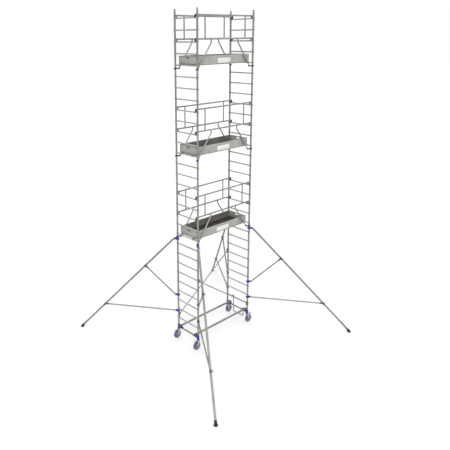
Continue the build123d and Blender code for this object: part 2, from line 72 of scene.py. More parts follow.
finishes = {"tubeAluminium": {"dark": (0.185, 0.185, 0.172), "pale": (0.275, 0.275, 0.257), "metal": 0.55,
                              "rough": (0.34, 0.5), "cloud": 2.2, "grain": 240, "bump": 0.05,
                              "stain": (0.24, 0.22, 0.18), "stainAt": 0.66},
            "rungAluminium": {"dark": (0.31, 0.31, 0.29), "pale": (0.43, 0.43, 0.405), "metal": 0.45,
                              "rough": (0.38, 0.54), "cloud": 3.4, "grain": 250, "bump": 0.05,
                              "stain": (0.25, 0.24, 0.21), "stainAt": 0.67},
            "railAluminium": {"dark": (0.205, 0.205, 0.19), "pale": (0.295, 0.295, 0.275), "metal": 0.55,
                              "rough": (0.34, 0.5), "cloud": 3.1, "grain": 260, "bump": 0.05,
                              "stain": (0.24, 0.22, 0.18), "stainAt": 0.68},
            "boardAluminium": {"dark": (0.29, 0.295, 0.278), "pale": (0.40, 0.405, 0.385), "metal": 0.30,
                               "rough": (0.42, 0.6), "cloud": 2.6, "grain": 150, "bump": 0.08,
                               "stain": (0.33, 0.32, 0.29), "stainAt": 0.64},
            "blueCasting": {"dark": (0.006, 0.018, 0.155), "pale": (0.012, 0.034, 0.27), "metal": 0.0,
                            "rough": (0.32, 0.48), "cloud": 9, "grain": 420, "bump": 0.10,
                            "stain": (0.05, 0.06, 0.14), "stainAt": 0.70},
            "blackPlastic": {"dark": (0.010, 0.010, 0.011), "pale": (0.028, 0.028, 0.030), "metal": 0.0,
                             "rough": (0.42, 0.62), "cloud": 12, "grain": 500, "bump": 0.14,
                             "stain": (0.06, 0.055, 0.05), "stainAt": 0.72},
            "oliveClaw": {"dark": (0.085, 0.066, 0.032), "pale": (0.15, 0.12, 0.065), "metal": 0.5,
                          "rough": (0.38, 0.55), "cloud": 14, "grain": 380, "bump": 0.12,
                          "stain": (0.05, 0.04, 0.025), "stainAt": 0.62},
            "footRubber": {"dark": (0.008, 0.008, 0.008), "pale": (0.024, 0.023, 0.022), "metal": 0.0,
                           "rough": (0.62, 0.82), "cloud": 16, "grain": 330, "bump": 0.22,
                           "stain": (0.09, 0.085, 0.075), "stainAt": 0.64},
            "blueTread": {"dark": (0.012, 0.030, 0.24), "pale": (0.024, 0.060, 0.38), "metal": 0.0,
                          "rough": (0.5, 0.7), "cloud": 15, "grain": 300, "bump": 0.12,
                          "stain": (0.11, 0.12, 0.18), "stainAt": 0.66},
            "wheelGrey": {"dark": (0.14, 0.137, 0.122), "pale": (0.22, 0.215, 0.195), "metal": 0.0,
                          "rough": (0.42, 0.6), "cloud": 14, "grain": 360, "bump": 0.10,
                          "stain": (0.10, 0.095, 0.085), "stainAt": 0.64},
            "zincPlate": {"dark": (0.36, 0.36, 0.345), "pale": (0.53, 0.53, 0.51), "metal": 0.85,
                          "rough": (0.28, 0.46), "cloud": 20, "grain": 180, "bump": 0.06,
                          "stain": (0.20, 0.185, 0.15), "stainAt": 0.66},
            # dark colour for the sheets on the toe boards' inner faces: painted shade inside the platform
            "boardInnerShade": {"dark": (0.11, 0.107, 0.10), "pale": (0.19, 0.185, 0.175), "metal": 0.1,
                           "rough": (0.5, 0.7), "cloud": 6, "grain": 170, "bump": 0.10,
                           "stain": (0.17, 0.165, 0.155), "stainAt": 0.62},
            "darkCoupler": {"dark": (0.06, 0.059, 0.056), "pale": (0.12, 0.118, 0.112), "metal": 0.4,
                            "rough": (0.4, 0.58), "cloud": 13, "grain": 330, "bump": 0.12,
                            "stain": (0.12, 0.115, 0.105), "stainAt": 0.66},
            "hookGrey": {"dark": (0.20, 0.20, 0.19), "pale": (0.31, 0.31, 0.29), "metal": 0.5,
                         "rough": (0.38, 0.55), "cloud": 12, "grain": 300, "bump": 0.08,
                         "stain": (0.07, 0.065, 0.055), "stainAt": 0.64},
            "labelPlate": {"dark": (0.60, 0.59, 0.53), "pale": (0.70, 0.69, 0.63), "metal": 0.0,
                           "rough": (0.35, 0.5), "cloud": 7, "grain": 200, "bump": 0.04,
                           "stain": (0.50, 0.49, 0.45), "stainAt": 0.68},}


def finish(name):
    spec = finishes[name]
    material = bpy.data.materials.new(name)
    material.use_nodes = True
    tree = material.node_tree
    shader = tree.nodes["Principled BSDF"]
    shader.inputs["Metallic"].default_value = spec["metal"]
    coords = nodeOf(tree, "ShaderNodeTexCoord", (-1400, 0))
    cloud = nodeOf(tree, "ShaderNodeTexNoise", (-1100, 260), Scale=spec["cloud"], Detail=6, Roughness=0.62)
    tone = nodeOf(tree, "ShaderNodeValToRGB", (-860, 260))
    tone.color_ramp.elements[0].position, tone.color_ramp.elements[1].position = 0.33, 0.68
    tone.color_ramp.elements[0].color = (*spec["dark"], 1)
    tone.color_ramp.elements[1].color = (*spec["pale"], 1)
    spots = nodeOf(tree, "ShaderNodeTexNoise", (-1100, -20), Scale=spec["cloud"] * 4.3, Detail=9,
                   Roughness=0.7)
    mask = nodeOf(tree, "ShaderNodeMapRange", (-860, -20))
    mask.inputs["From Min"].default_value = spec["stainAt"] - 0.06
    mask.inputs["From Max"].default_value = spec["stainAt"] + 0.06
    mask.inputs["To Max"].default_value = 0.65
    stained = nodeOf(tree, "ShaderNodeMix", (-520, 200), data_type="RGBA")
    stained.inputs[7].default_value = (*spec["stain"], 1)
    grain = nodeOf(tree, "ShaderNodeTexNoise", (-1100, -320), Scale=spec["grain"], Detail=3, Roughness=0.5)
    rough = nodeOf(tree, "ShaderNodeMapRange", (-520, -120))
    rough.inputs["To Min"].default_value, rough.inputs["To Max"].default_value = spec["rough"]
    bump = nodeOf(tree, "ShaderNodeBump", (-520, -380), Strength=spec["bump"], Distance=0.0006)
    for node in (cloud, spots, grain):
        tree.links.new(coords.outputs["Object"], node.inputs["Vector"])
    tree.links.new(cloud.outputs["Fac"], tone.inputs["Fac"])
    tree.links.new(spots.outputs["Fac"], mask.inputs["Value"])
    tree.links.new(mask.outputs["Result"], stained.inputs["Factor"])
    tree.links.new(tone.outputs["Color"], stained.inputs[6])
    tree.links.new(stained.outputs[2], shader.inputs["Base Color"])
    tree.links.new(spots.outputs["Fac"], rough.inputs["Value"])
    tree.links.new(rough.outputs["Result"], shader.inputs["Roughness"])
    tree.links.new(grain.outputs["Fac"], bump.inputs["Height"])
    tree.links.new(bump.outputs["Normal"], shader.inputs["Normal"])
    return material


plySpec = {"dark": (0.008, 0.0062, 0.005), "pale": (0.030, 0.022, 0.018), "grain": (0.045, 0.034, 0.028),
           "mesh": 95}


def plyFinish():  # film-faced board: long faint grain and a pressed anti-slip grid
    material = bpy.data.materials.new("filmFacedPly")
    material.use_nodes = True
    tree = material.node_tree
    shader = tree.nodes["Principled BSDF"]
    coords = nodeOf(tree, "ShaderNodeTexCoord", (-1500, 0))
    stretch = nodeOf(tree, "ShaderNodeMapping", (-1300, 200))
    stretch.inputs["Scale"].default_value = (1.2, 26, 26)
    grain = nodeOf(tree, "ShaderNodeTexNoise", (-1080, 200), Scale=3.0, Detail=8, Roughness=0.65)
    tone = nodeOf(tree, "ShaderNodeValToRGB", (-860, 200))
    tone.color_ramp.elements[0].position, tone.color_ramp.elements[1].position = 0.35, 0.72
    tone.color_ramp.elements[0].color = (*plySpec["dark"], 1)
    tone.color_ramp.elements[1].color = (*plySpec["pale"], 1)
    worn = nodeOf(tree, "ShaderNodeTexNoise", (-1080, -60), Scale=5.5, Detail=7, Roughness=0.7)
    wornMask = nodeOf(tree, "ShaderNodeMapRange", (-860, -60))
    wornMask.inputs["From Min"].default_value, wornMask.inputs["From Max"].default_value = 0.56, 0.74
    wornMask.inputs["To Max"].default_value = 0.7
    mixed = nodeOf(tree, "ShaderNodeMix", (-520, 160), data_type="RGBA")
    mixed.inputs[7].default_value = (*plySpec["grain"], 1)
    grid = nodeOf(tree, "ShaderNodeTexVoronoi", (-1080, -340), Scale=plySpec["mesh"])
    rough = nodeOf(tree, "ShaderNodeMapRange", (-520, -100))
    rough.inputs["To Min"].default_value, rough.inputs["To Max"].default_value = 0.45, 0.7
    bump = nodeOf(tree, "ShaderNodeBump", (-520, -340), Strength=0.35, Distance=0.0008)
    tree.links.new(coords.outputs["Object"], stretch.inputs["Vector"])
    tree.links.new(stretch.outputs["Vector"], grain.inputs["Vector"])
    tree.links.new(coords.outputs["Object"], worn.inputs["Vector"])
    tree.links.new(coords.outputs["Object"], grid.inputs["Vector"])
    tree.links.new(grain.outputs["Fac"], tone.inputs["Fac"])
    tree.links.new(worn.outputs["Fac"], wornMask.inputs["Value"])
    tree.links.new(wornMask.outputs["Result"], mixed.inputs["Factor"])
    tree.links.new(tone.outputs["Color"], mixed.inputs[6])
    tree.links.new(mixed.outputs[2], shader.inputs["Base Color"])
    tree.links.new(worn.outputs["Fac"], rough.inputs["Value"])
    tree.links.new(rough.outputs["Result"], shader.inputs["Roughness"])
    tree.links.new(grid.outputs["Distance"], bump.inputs["Height"])
    tree.links.new(bump.outputs["Normal"], shader.inputs["Normal"])
    return material


made = {name: finish(name) for name in finishes}
made["filmFacedPly"] = plyFinish()
print("finishes made")


# bench tools
def settle(name, bm, finishName, body, nodes=(), bevel=0.0, segments=2, crease=35):
    bmesh.ops.remove_doubles(bm, verts=bm.verts, dist=1e-5)
    bmesh.ops.recalc_face_normals(bm, faces=bm.faces)
    if bevel:
        sharp = [e for e in bm.edges
                 if len(e.link_faces) == 2 and e.calc_face_angle(0) > math.radians(crease)]
        bmesh.ops.bevel(bm, geom=sharp, offset=bevel, offset_type="OFFSET", segments=segments, profile=0.5,
                        affect="EDGES", material=-1, clamp_overlap=True)
    mesh = bpy.data.meshes.new(name)
    bm.to_mesh(mesh)
    bm.free()
    for polygon in mesh.polygons:
        polygon.use_smooth = True
    mesh.set_sharp_from_angle(angle=math.radians(crease))
    mesh.materials.append(made[finishName])
    piece = bpy.data.objects.new(name, mesh)
    bpy.context.scene.collection.objects.link(piece)
    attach(piece, body)
    if nodes:
        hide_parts(*nodes)
    return piece


def facing(spot, direction, up="Y"):
    return Matrix.Translation(spot) @ Vector(direction).to_track_quat("Z", up).to_matrix().to_4x4()


def ringEdges(verts):
    known = set(verts)
    linked = {e for v in verts for e in v.link_edges}
    return [e for e in linked if e.verts[0] in known and e.verts[1] in known]


def pushRing(bm, ring, shift):
    grown = bmesh.ops.extrude_edge_only(bm, edges=ring)["geom"]
    verts = [g for g in grown if isinstance(g, bmesh.types.BMVert)]
    bmesh.ops.translate(bm, verts=verts, vec=shift)
    return [g for g in grown if isinstance(g, bmesh.types.BMEdge)]


def scaleRing(bm, ring, centre, factor):
    verts = {v for e in ring for v in e.verts}
    for v in verts:
        v.co = centre + (v.co - centre) * factor


def capRing(bm, ring, centre, heading, mouth):  # a rolled lip, then a shallow mouth or a flat end
    ring = pushRing(bm, ring, Vector((0, 0, 0)))
    scaleRing(bm, ring, centre, 0.84)
    if mouth:
        ring = pushRing(bm, ring, -heading * mouth)
    bmesh.ops.edgeloop_fill(bm, edges=ring)


def tubeRun(bm, points, size, bend=0.04, sides=18, steps=5, mouth=0.012):
    spots = [Vector(p) for p in points]
    heading = (spots[1] - spots[0]).normalized()
    start = bmesh.ops.create_circle(bm, cap_ends=False, segments=sides, radius=size,
                                    matrix=facing(spots[0], heading))
    ring = ringEdges(start["verts"])
    first, firstHeading, here = list(ring), -heading, spots[0]
    for n in range(1, len(spots)):
        ahead = heading if n == len(spots) - 1 else (spots[n + 1] - spots[n]).normalized()
        angle = heading.angle(ahead)
        cut = bend * math.tan(angle / 2)
        stop = spots[n] - heading * cut
        ring = pushRing(bm, ring, stop - here)
        here = stop
        if angle > 0.01:
            axis = heading.cross(ahead).normalized()
            centre = here + axis.cross(heading) * bend
            spun = bmesh.ops.spin(bm, geom=ring, cent=centre, axis=axis, angle=angle,
                                  steps=steps)["geom_last"]
            ring = [g for g in spun if isinstance(g, bmesh.types.BMEdge)]
            here = spots[n] + ahead * cut
        heading = ahead
    capRing(bm, ring, here, heading, mouth)
    capRing(bm, first, spots[0], firstHeading, mouth)


# profile: (radius, along), closed to a ring unless it ends on the axis
def turned(bm, profile, spot, direction, steps=28):
    place = facing(spot, direction)
    verts = [bm.verts.new(place @ Vector((r, 0, h))) for r, h in profile]
    edges = [bm.edges.new(pair) for pair in zip(verts, verts[1:])]
    if profile[0][0] > 0 and profile[-1][0] > 0:
        edges.append(bm.edges.new((verts[-1], verts[0])))
    bmesh.ops.spin(bm, geom=verts + edges, cent=Vector(spot), axis=Vector(direction).normalized(),
                   angle=math.tau, steps=steps, use_merge=True)


def slabOf(bm, outline, thick, place, press=None):  # a flat outline given a thickness about its own plane
    verts = [bm.verts.new((x, y, -thick / 2)) for x, y in outline]
    face = bm.faces.new(verts)
    grown = bmesh.ops.extrude_face_region(bm, geom=[face])["geom"]
    lifted = [g for g in grown if isinstance(g, bmesh.types.BMVert)]
    bmesh.ops.translate(bm, verts=lifted, vec=(0, 0, thick))
    if press:  # sunk or raised panel on both broad faces
        broad = [g for g in grown if isinstance(g, bmesh.types.BMFace)] + [face]
        bmesh.ops.recalc_face_normals(bm, faces=list({f for v in verts + lifted for f in v.link_faces}))
        before = set(bm.verts)
        for one in broad:
            bmesh.ops.inset_region(bm, faces=[one], thickness=press[0], depth=press[1], use_even_offset=True)
        lifted += [v for v in bm.verts if v not in before]
    bmesh.ops.transform(bm, matrix=place, verts=verts + lifted)


def arcOf(centre, radius, start, stop, count):
    return [(centre[0] + radius * math.cos(math.radians(start + (stop - start) * n / count)),
             centre[1] + radius * math.sin(math.radians(start + (stop - start) * n / count)))
            for n in range(count + 1)]


def sideways(x, y, z):  # outline in the X-Z plane, thickness along Y
    return Matrix.Translation((x, y, z)) @ Matrix.Rotation(math.pi / 2, 4, "X")


# outline in Y-Z, thickness along X
lengthways = Matrix(((0, 0, 1, 0), (1, 0, 0, 0), (0, 1, 0, 0), (0, 0, 0, 1)))


def brick(bm, spot, size, turn=0.0):
    x, y = size[0] / 2, size[1] / 2
    slabOf(bm, [(-x, -y), (x, -y), (x, y), (-x, y)], size[2],
           Matrix.Translation(spot) @ Matrix.Rotation(turn, 4, "Z"))


def hexNut(bm, spot, direction, size, thick):
    outline = [(size * math.cos(math.tau * n / 6), size * math.sin(math.tau * n / 6)) for n in range(6)]
    slabOf(bm, outline, thick, facing(spot, direction))


# ladder frames
ladderSpec = {"flutes": 14, "fluteDepth": 0.0009, "collar": 0.0205, "collarLength": 0.007,
              "rivet": 0.004}


def flutedRung(bm, x, z, reach):
    sides = ladderSpec["flutes"] * 2
    start = bmesh.ops.create_circle(bm, cap_ends=False, segments=sides, radius=tower["rung"],
                                    matrix=facing((x, -reach, z), (0, 1, 0)))
    centre = Vector((x, -reach, z))
    for n, v in enumerate(start["verts"]):
        if n % 2:
            v.co = centre + (v.co - centre) * (1 - ladderSpec["fluteDepth"] / tower["rung"] * 2)
    ring = ringEdges(start["verts"])
    first = list(ring)
    ring = pushRing(bm, ring, Vector((0, 2 * reach, 0)))
    capRing(bm, ring, Vector((x, reach, z)), Vector((0, 1, 0)), 0.02)
    capRing(bm, first, centre, Vector((0, -1, 0)), 0.02)
    for y in (-halfWidth, halfWidth):
        for way in (-1, 1):
            collar, length = ladderSpec["collar"], ladderSpec["collarLength"]
            seat = y + way * (tower["post"] - 0.002)
            turned(bm, [(tower["rung"] - 0.001, length), (tower["rung"] + 0.0015, length), (collar, 0.002),
                        (collar, 0)], (x, seat, z), (0, way, 0), 20)


def ladderFrame(side, level):
    node = f"ladder_{side}_{level}"
    low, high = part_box(node)
    x = (low.x + high.x) / 2
    top = high.z - tower["lap"]
    bm = bmesh.new()
    for y in (-halfWidth, halfWidth):
        profile = [(tower["postBore"], 0), (tower["post"], 0), (tower["post"], top - low.z),
                   (tower["postBore"], top - low.z)]
        turned(bm, profile, (x, y, low.z), (0, 0, 1), 28)
        bore = tower["postBore"]
        fit = bore - tower["topPlay" if level == 4 else "spigotPlay"]
        spigot = [(bore - 0.003, 0), (bore - 0.0001, 0), (bore - 0.0001, 0.075), (fit, 0.0751), (fit, 0.147),
                  (fit - 0.002, 0.150), (bore - 0.003, 0.150)]
        turned(bm, spigot, (x, y, top - tower["lap"]), (0, 0, 1), 24)
        for way in (-1, 1):  # rivets that hold the spigot
            turned(bm, [(0, 0.0022), (0.003, 0.0018), (ladderSpec["rivet"], 0)],
                   (x + way * tower["post"], y, top - 0.045), (way, 0, 0), 10)
    rungs = bmesh.new()
    for n in range(30):
        z = tower["firstRung"] + n * tower["pitch"]
        if low.z < z < top:
            flutedRung(rungs, x, z, high.y)
    settle(f"ladderRungs.{side}.{level}", rungs, "rungAluminium", "tower", [node])
    if level == 1:
        z = tower["barHeight"]
        tubeRun(bm, [(x, -halfWidth + 0.022, z), (x, halfWidth - 0.022, z)], tower["bar"], sides=24)
        for way in (-1, 1):
            turned(bm, [(0.0195, 0), (0.024, 0), (0.0205, 0.005)], (x, way * (halfWidth - 0.0225), z),
                   (0, -way, 0), 24)
    settle(f"ladderPosts.{side}.{level}", bm, "tubeAluminium", "tower", [node])


for side in ("left", "right"):
    for level in (1, 2, 3, 4):
        ladderFrame(side, level)
print("ladder frames made")

# guardrails
railSpec = {"rail": 0.0175, "leg": 0.015, "legBend": 0.06, "above": 0.06, "legAt": 0.43, "bendBelow": 0.075,
            "clipDrop": 0.075, "legEnd": 0.062, "postNear": 0.62, "postFar": 0.67}
railY = halfWidth - 0.05


def guardrailFrame(number, base, face):
    mid, high = base + 0.5 + railSpec["above"], base + 1.0 + railSpec["above"]
    y = face * railY
    end = halfBay - 0.026
    bm = bmesh.new()
    for z in (mid, high):
        tubeRun(bm, [(-end, y, z), (end, y, z)], railSpec["rail"], sides=20)
    for x in (face * railSpec["postNear"], -face * railSpec["postFar"]):
        tubeRun(bm, [(x, y, mid + 0.012), (x, y, high - 0.012)], railSpec["leg"], sides=18)
        for z, way in ((mid, 1), (high, -1)):  # weld beads
            turned(bm, [(0.0185, 0), (0.0175, 0.004), (0.0148, 0.006)], (x, y, z + way * 0.0135),
                   (0, 0, way), 18)
    for way in (-1, 1):
        x = way * railSpec["legAt"]
        foot = (way * (halfBay - railSpec["legEnd"]), y, base - railSpec["clipDrop"])
        tubeRun(bm, [(x, y, mid - 0.012), (x, y, mid - railSpec["bendBelow"]), foot], railSpec["leg"],
                bend=railSpec["legBend"], steps=7)
        turned(bm, [(0.0185, 0), (0.0175, 0.004), (0.0148, 0.006)], (x, y, mid - 0.0135), (0, 0, -1), 18)
    return bm


for number, base in enumerate(deckRungs, 1):
    back = guardrailFrame(number, base, 1)
    settle(f"guardrail.back.{number}", back, "railAluminium", "tower", [f"guardrails_{number}"])
    front = guardrailFrame(number, base, -1)
    settle(f"guardrail.front.{number}", front, "railAluminium", "tower", [f"guardrails_{number}"])

hookSpec = {"half": 0.022, "thick": 0.028, "mouth": 0.0176, "lip": 0.0193}


def railHooks():
    grey, black = bmesh.new(), bmesh.new()
    h, mouth, top = hookSpec["half"], hookSpec["mouth"], railSpec["above"] + railSpec["rail"]
    outline = [(-h, -0.004), (-h, top - 0.016), (-h + 0.006, top - 0.002), (h - 0.016, top - 0.002),
               (h - 0.004, top - 0.016), (h, top - 0.034), (h, -0.002), (h - 0.002, -0.008),
               (mouth, -0.008)]
    outline += arcOf((0, 0), mouth, 0, 180, 12) + [(-mouth, -0.008), (-h + 0.001, -0.008)]
    for base in deckRungs:
        for step in (0.5, 1.0):
            for sx in (-1, 1):
                for sy in (-1, 1):
                    bm = black if sx == sy else grey  # each frame has its moving hook at one end
                    spot = Vector((sx * halfBay, sy * railY, base + step))
                    slabOf(bm, [(sx * x, z) for x, z in outline], hookSpec["thick"], sideways(*spot),
                           press=(0.004, -0.0022))
                    end = spot + Vector((-sx * (h + 0.014), 0, railSpec["above"]))
                    lip = hookSpec["lip"]
                    turned(bm, [(0, 0), (lip - 0.001, 0), (lip, 0.002), (lip, 0.010), (lip - 0.001, 0.012),
                                (lip, 0.014), (0.0165, 0.020), (0, 0.020)], end, (sx, 0, 0), 22)
                    for z in (0.030, 0.048):
                        turned(grey, [(0, 0.0022), (0.0028, 0.0018), (0.0042, 0)],
                               spot + Vector((-sx * 0.010, sy * 0.0118, z)), (0, sy, 0), 12)
    settle("railHooksFixed", grey, "hookGrey", "tower", ["rail_hooks"], bevel=0.0012)
    settle("railHooksMoving", black, "blackPlastic", "tower", ["rail_hooks"], bevel=0.0012)


railHooks()

clipSpec = {"ring": 0.030, "bore": 0.0223, "height": 0.036, "lever": 0.050, "arm": 0.0065, "cup": 0.0225}


def railClips():
    blue, grey = bmesh.new(), bmesh.new()
    h, r, bore = clipSpec["height"] / 2, clipSpec["ring"], clipSpec["bore"]
    for base in deckRungs:
        z = base - railSpec["clipDrop"]
        for sx in (-1, 1):
            for sy in (-1, 1):
                x, y = sx * halfBay, sy * halfWidth
                turned(blue, [(bore, -h), (r - 0.003, -h), (r, -h + 0.003), (r, -h + 0.009),
                              (r - 0.0016, -h + 0.011), (r - 0.0016, h - 0.011), (r, h - 0.009),
                              (r, h - 0.003), (r - 0.003, h), (bore, h)], (x, y, z), (0, 0, 1), 32)
                lever = [(0.026, -0.012), (0.044, -0.012), (clipSpec["lever"], -0.008),
                         (clipSpec["lever"], 0.008), (0.044, 0.012), (0.026, 0.012)]
                slabOf(blue, [(sx * u, v) for u, v in lever], 0.026, Matrix.Translation((x, y, z)),
                       press=(0.003, -0.0016))
                slabOf(blue, [(sx * u, w) for u, w in [(0.030, 0.010), (0.040, 0.013),
                                                       (clipSpec["lever"], 0.0165),
                                                       (clipSpec["lever"], 0.0125), (0.040, 0.0095),
                                                       (0.030, 0.006)]], 0.020, sideways(x, y, z))
                legX, legY = x - sx * railSpec["legEnd"], sy * railY
                reachOut = Vector((x - legX, y - legY, 0))
                turn = math.atan2(reachOut.y, reachOut.x)
                middle = Vector((x, y, z)) - reachOut * 0.53
                for lift in (-0.0105, 0.0105):
                    brick(grey, middle + Vector((0, 0, lift)), (0.034, 0.022, clipSpec["arm"]), turn)
                brick(grey, middle, (0.032, 0.008, 0.024), turn)
                cup = clipSpec["cup"]
                turned(grey, [(0.0153, -0.0165), (cup - 0.0020, -0.0165), (cup, -0.0130), (cup, -0.0060),
                              (cup - 0.0016, -0.0045), (cup - 0.0016, 0.0045), (cup, 0.0060), (cup, 0.0130),
                              (cup - 0.0020, 0.0165), (0.0153, 0.0165)], (legX, legY, z), (0, 0, 1), 26)
                turned(grey, [(0, 0.003), (0.0034, 0.0024), (0.005, 0), (0, -0.001)],
                       middle + Vector((0, 0, 0.0137)), (0, 0, 1), 14)
    settle("railClips", blue, "blueCasting", "tower", ["rail_clips"], bevel=0.0010)
    settle("railClipArms", grey, "darkCoupler", "tower", ["rail_clips"], bevel=0.0008)


railClips()
print("guardrails made")

# castors
castorSpec = {"wheel": 0.100, "half": 0.025, "core": 0.0925, "trail": 0.050, "plate": 0.004, "legAt": 0.031,
              "axle": 0.008, "pinOut": 0.043, "pinUp": 0.218, "ribs": 10, "grooves": 3}


def castor(number):
    x, y = corners[number].x, corners[number].y
    way = 1 if x > 0 else -1
    wheelX, wheelZ = x + way * castorSpec["trail"], castorSpec["wheel"]
    pinX, pinZ = x + way * castorSpec["pinOut"], castorSpec["pinUp"]
    bm = bmesh.new()
    turned(bm, [(0, 0.2035), (0.024, 0.2035), (0.030, 0.2062), (0.034, 0.2085), (0.034, 0.2125),
                (0.0318, 0.2145), (0.0318, 0.2172), (0.034, 0.219), (0.034, 0.2235), (0.0322, 0.225),
                (0, 0.225)], (x, y, 0), (0, 0, 1), 36)
    crown = [(way * u, v) for u, v in [(-0.022, -0.0325), (0.020, -0.0325), (0.036, -0.0325), (0.036, 0.0325),
                                       (0.020, 0.0325), (-0.022, 0.0325), (-0.029, 0.020), (-0.029, -0.020)]]
    slabOf(bm, crown, 0.0045, Matrix.Translation((x, y, 0.2102)))
    leg = [(-0.021, 0.2122), (-0.021, 0.197), (-0.013, 0.184)]
    leg += arcOf((castorSpec["trail"], wheelZ), 0.0195, 192, 350, 12)
    leg += [(0.0445, 0.176), (0.038, 0.197), (0.038, 0.2122)]
    for turn in (-1, 1):
        slabOf(bm, [(way * u, z) for u, z in leg], castorSpec["plate"],
               sideways(x, y + turn * castorSpec["legAt"], 0), press=(0.005, -0.0009))
        lug = [(-0.020, -0.007), (0, -0.007), (0.006, 0), (0, 0.007), (-0.020, 0.007)]
        slabOf(bm, [(way * u, z) for u, z in lug], 0.004, sideways(pinX, y + turn * 0.0235, pinZ))
        face = y + turn * (castorSpec["legAt"] + 0.002)
        turned(bm, [(0, 0), (0.0145, 0), (0.0145, 0.0014), (0, 0.0014)], (wheelX, face, wheelZ),
               (0, turn, 0), 24)
        hexNut(bm, (wheelX, face + turn * 0.0042, wheelZ), (0, turn, 0), 0.0118, 0.0058)
        turned(bm, [(0, 0), (0.0078, 0), (0.0072, 0.0022), (0, 0.003)],
               (wheelX, face + turn * 0.0068, wheelZ), (0, turn, 0), 18)
        turned(bm, [(0, 0), (0.0062, 0), (0.0062, 0.0022), (0, 0.0034)], (pinX, y + turn * 0.0252, pinZ),
               (0, turn, 0), 16)
    turned(bm, [(0, -0.026), (0.0039, -0.026), (0.0039, 0.026), (0, 0.026)], (pinX, y, pinZ), (0, 1, 0), 14)
    turned(bm, [(0, -0.031), (castorSpec["axle"], -0.031), (castorSpec["axle"], 0.031), (0, 0.031)],
           (wheelX, y, wheelZ), (0, 1, 0), 20)
    settle(f"castorFork.{number}", bm, "zincPlate", f"castor_{number}_head", [f"castor_{number}_fork"],
           bevel=0.0007)

    bm = bmesh.new()
    half, core = castorSpec["half"], castorSpec["core"]
    web = [(0.0081, -0.0270), (0.0225, -0.0270), (0.0245, -0.0240), (0.0262, -0.0060), (0.0300, -0.0045),
           (core - 0.030, -0.0045), (core - 0.024, -0.0065), (core - 0.020, -0.0190), (core - 0.016, -0.0215),
           (core - 0.004, -0.0228), (core - 0.0005, -0.0222), (core - 0.0005, 0.0222), (core - 0.004, 0.0228),
           (core - 0.016, 0.0215), (core - 0.020, 0.0190), (core - 0.024, 0.0065), (core - 0.030, 0.0045),
           (0.0300, 0.0045), (0.0262, 0.0060), (0.0245, 0.0240), (0.0225, 0.0270), (0.0081, 0.0270)]
    turned(bm, web, (wheelX, y, wheelZ), (0, 1, 0), 56)
    for n in range(castorSpec["ribs"]):
        spin = Matrix.Translation((wheelX, y,
                                   wheelZ)) @ Matrix.Rotation(math.tau * n / castorSpec["ribs"], 4, "Y")
        for turn in (-1, 1):
            side = [(0.0235, turn * 0.0035), (core - 0.0215, turn * 0.0035), (core - 0.0190, turn * 0.0185),
                    (0.040, turn * 0.0165), (0.0240, turn * 0.0225)]
            slabOf(bm, side, 0.0042, spin)
    settle(f"castorWheel.{number}", bm, "wheelGrey", f"castor_{number}_roller", [f"castor_{number}_wheel"],
           bevel=0.0006)

    bm = bmesh.new()
    crown = castorSpec["wheel"]
    tread = [(core, -half + 0.0022), (core + 0.0020, -half + 0.0004), (crown - 0.0035, -half + 0.0010),
             (crown - 0.0012, -half + 0.0042)]
    for n in range(castorSpec["grooves"]):
        mid = (n - (castorSpec["grooves"] - 1) / 2) * 0.0105
        tread += [(crown, mid - 0.0022), (crown - 0.0018, mid - 0.0012), (crown - 0.0018, mid + 0.0012),
                  (crown, mid + 0.0022)]
    tread += [(crown - 0.0012, half - 0.0042), (crown - 0.0035, half - 0.0010),
              (core + 0.0020, half - 0.0004), (core, half - 0.0022)]
    turned(bm, tread, (wheelX, y, wheelZ), (0, 1, 0), 72)
    settle(f"castorTyre.{number}", bm, "blueTread", f"castor_{number}_roller", [f"castor_{number}_tyre"])

    bm = bmesh.new()
    turned(bm, [(0.0041, -0.0205), (0.0072, -0.0205), (0.0072, 0.0205), (0.0041, 0.0205)], (pinX, y, pinZ),
           (0, 1, 0), 20)
    side = [(0.002, 0.0012), (0.072, 0.0012), (0.084, 0.0018), (0.094, 0.0034), (0.0995, 0.0062),
            (0.0985, 0.0098), (0.0915, 0.0078), (0.082, 0.0062), (0.070, 0.0058), (0.002, 0.0058)]
    slabOf(bm, [(way * u, z) for u, z in side[:3] + [(0.086, 0.0062)] + side[8:]], 0.042,
           sideways(pinX, y, pinZ))
    toe = [(0.070, 0.0011)] + side[2:8] + [(0.070, 0.0062)]
    slabOf(bm, [(way * u, z) for u, z in toe], 0.060, sideways(pinX, y, pinZ))
    for n in range(4):
        brick(bm, (pinX + way * (0.0735 + n * 0.0052), y, pinZ + 0.0062), (0.0022, 0.050, 0.0024))
    settle(f"castorPedal.{number}", bm, "zincPlate", f"castor_{number}_brake", [f"castor_{number}_pedal"],
           bevel=0.0008)


for number in corners:
    castor(number)


def castorStems():
    bm = bmesh.new()
    for spot in corners.values():
        turned(bm, [(0, 0.2253), (0.0325, 0.2253), (0.034, 0.2268), (0.034, 0.2355), (0.0328, 0.237),
                    (0.0199, 0.2372), (0.0199, 0.3120), (0.0172, 0.3150), (0, 0.3150)], (spot.x, spot.y, 0),
               (0, 0, 1), 32)
    settle("castorStems", bm, "zincPlate", "tower", ["castor_stems"])


castorStems()
print("castors made")

# brackets over the castors
bracketSpec = {"sleeve": 0.028, "bore": 0.0223, "low": 0.245, "high": 0.360, "cheek": 0.0245,
               "tubeIn": 0.080, "tubeUp": 0.351, "ring": 0.031, "ringBore": 0.0252, "armEnd": 0.139,
               "knob": 0.120}


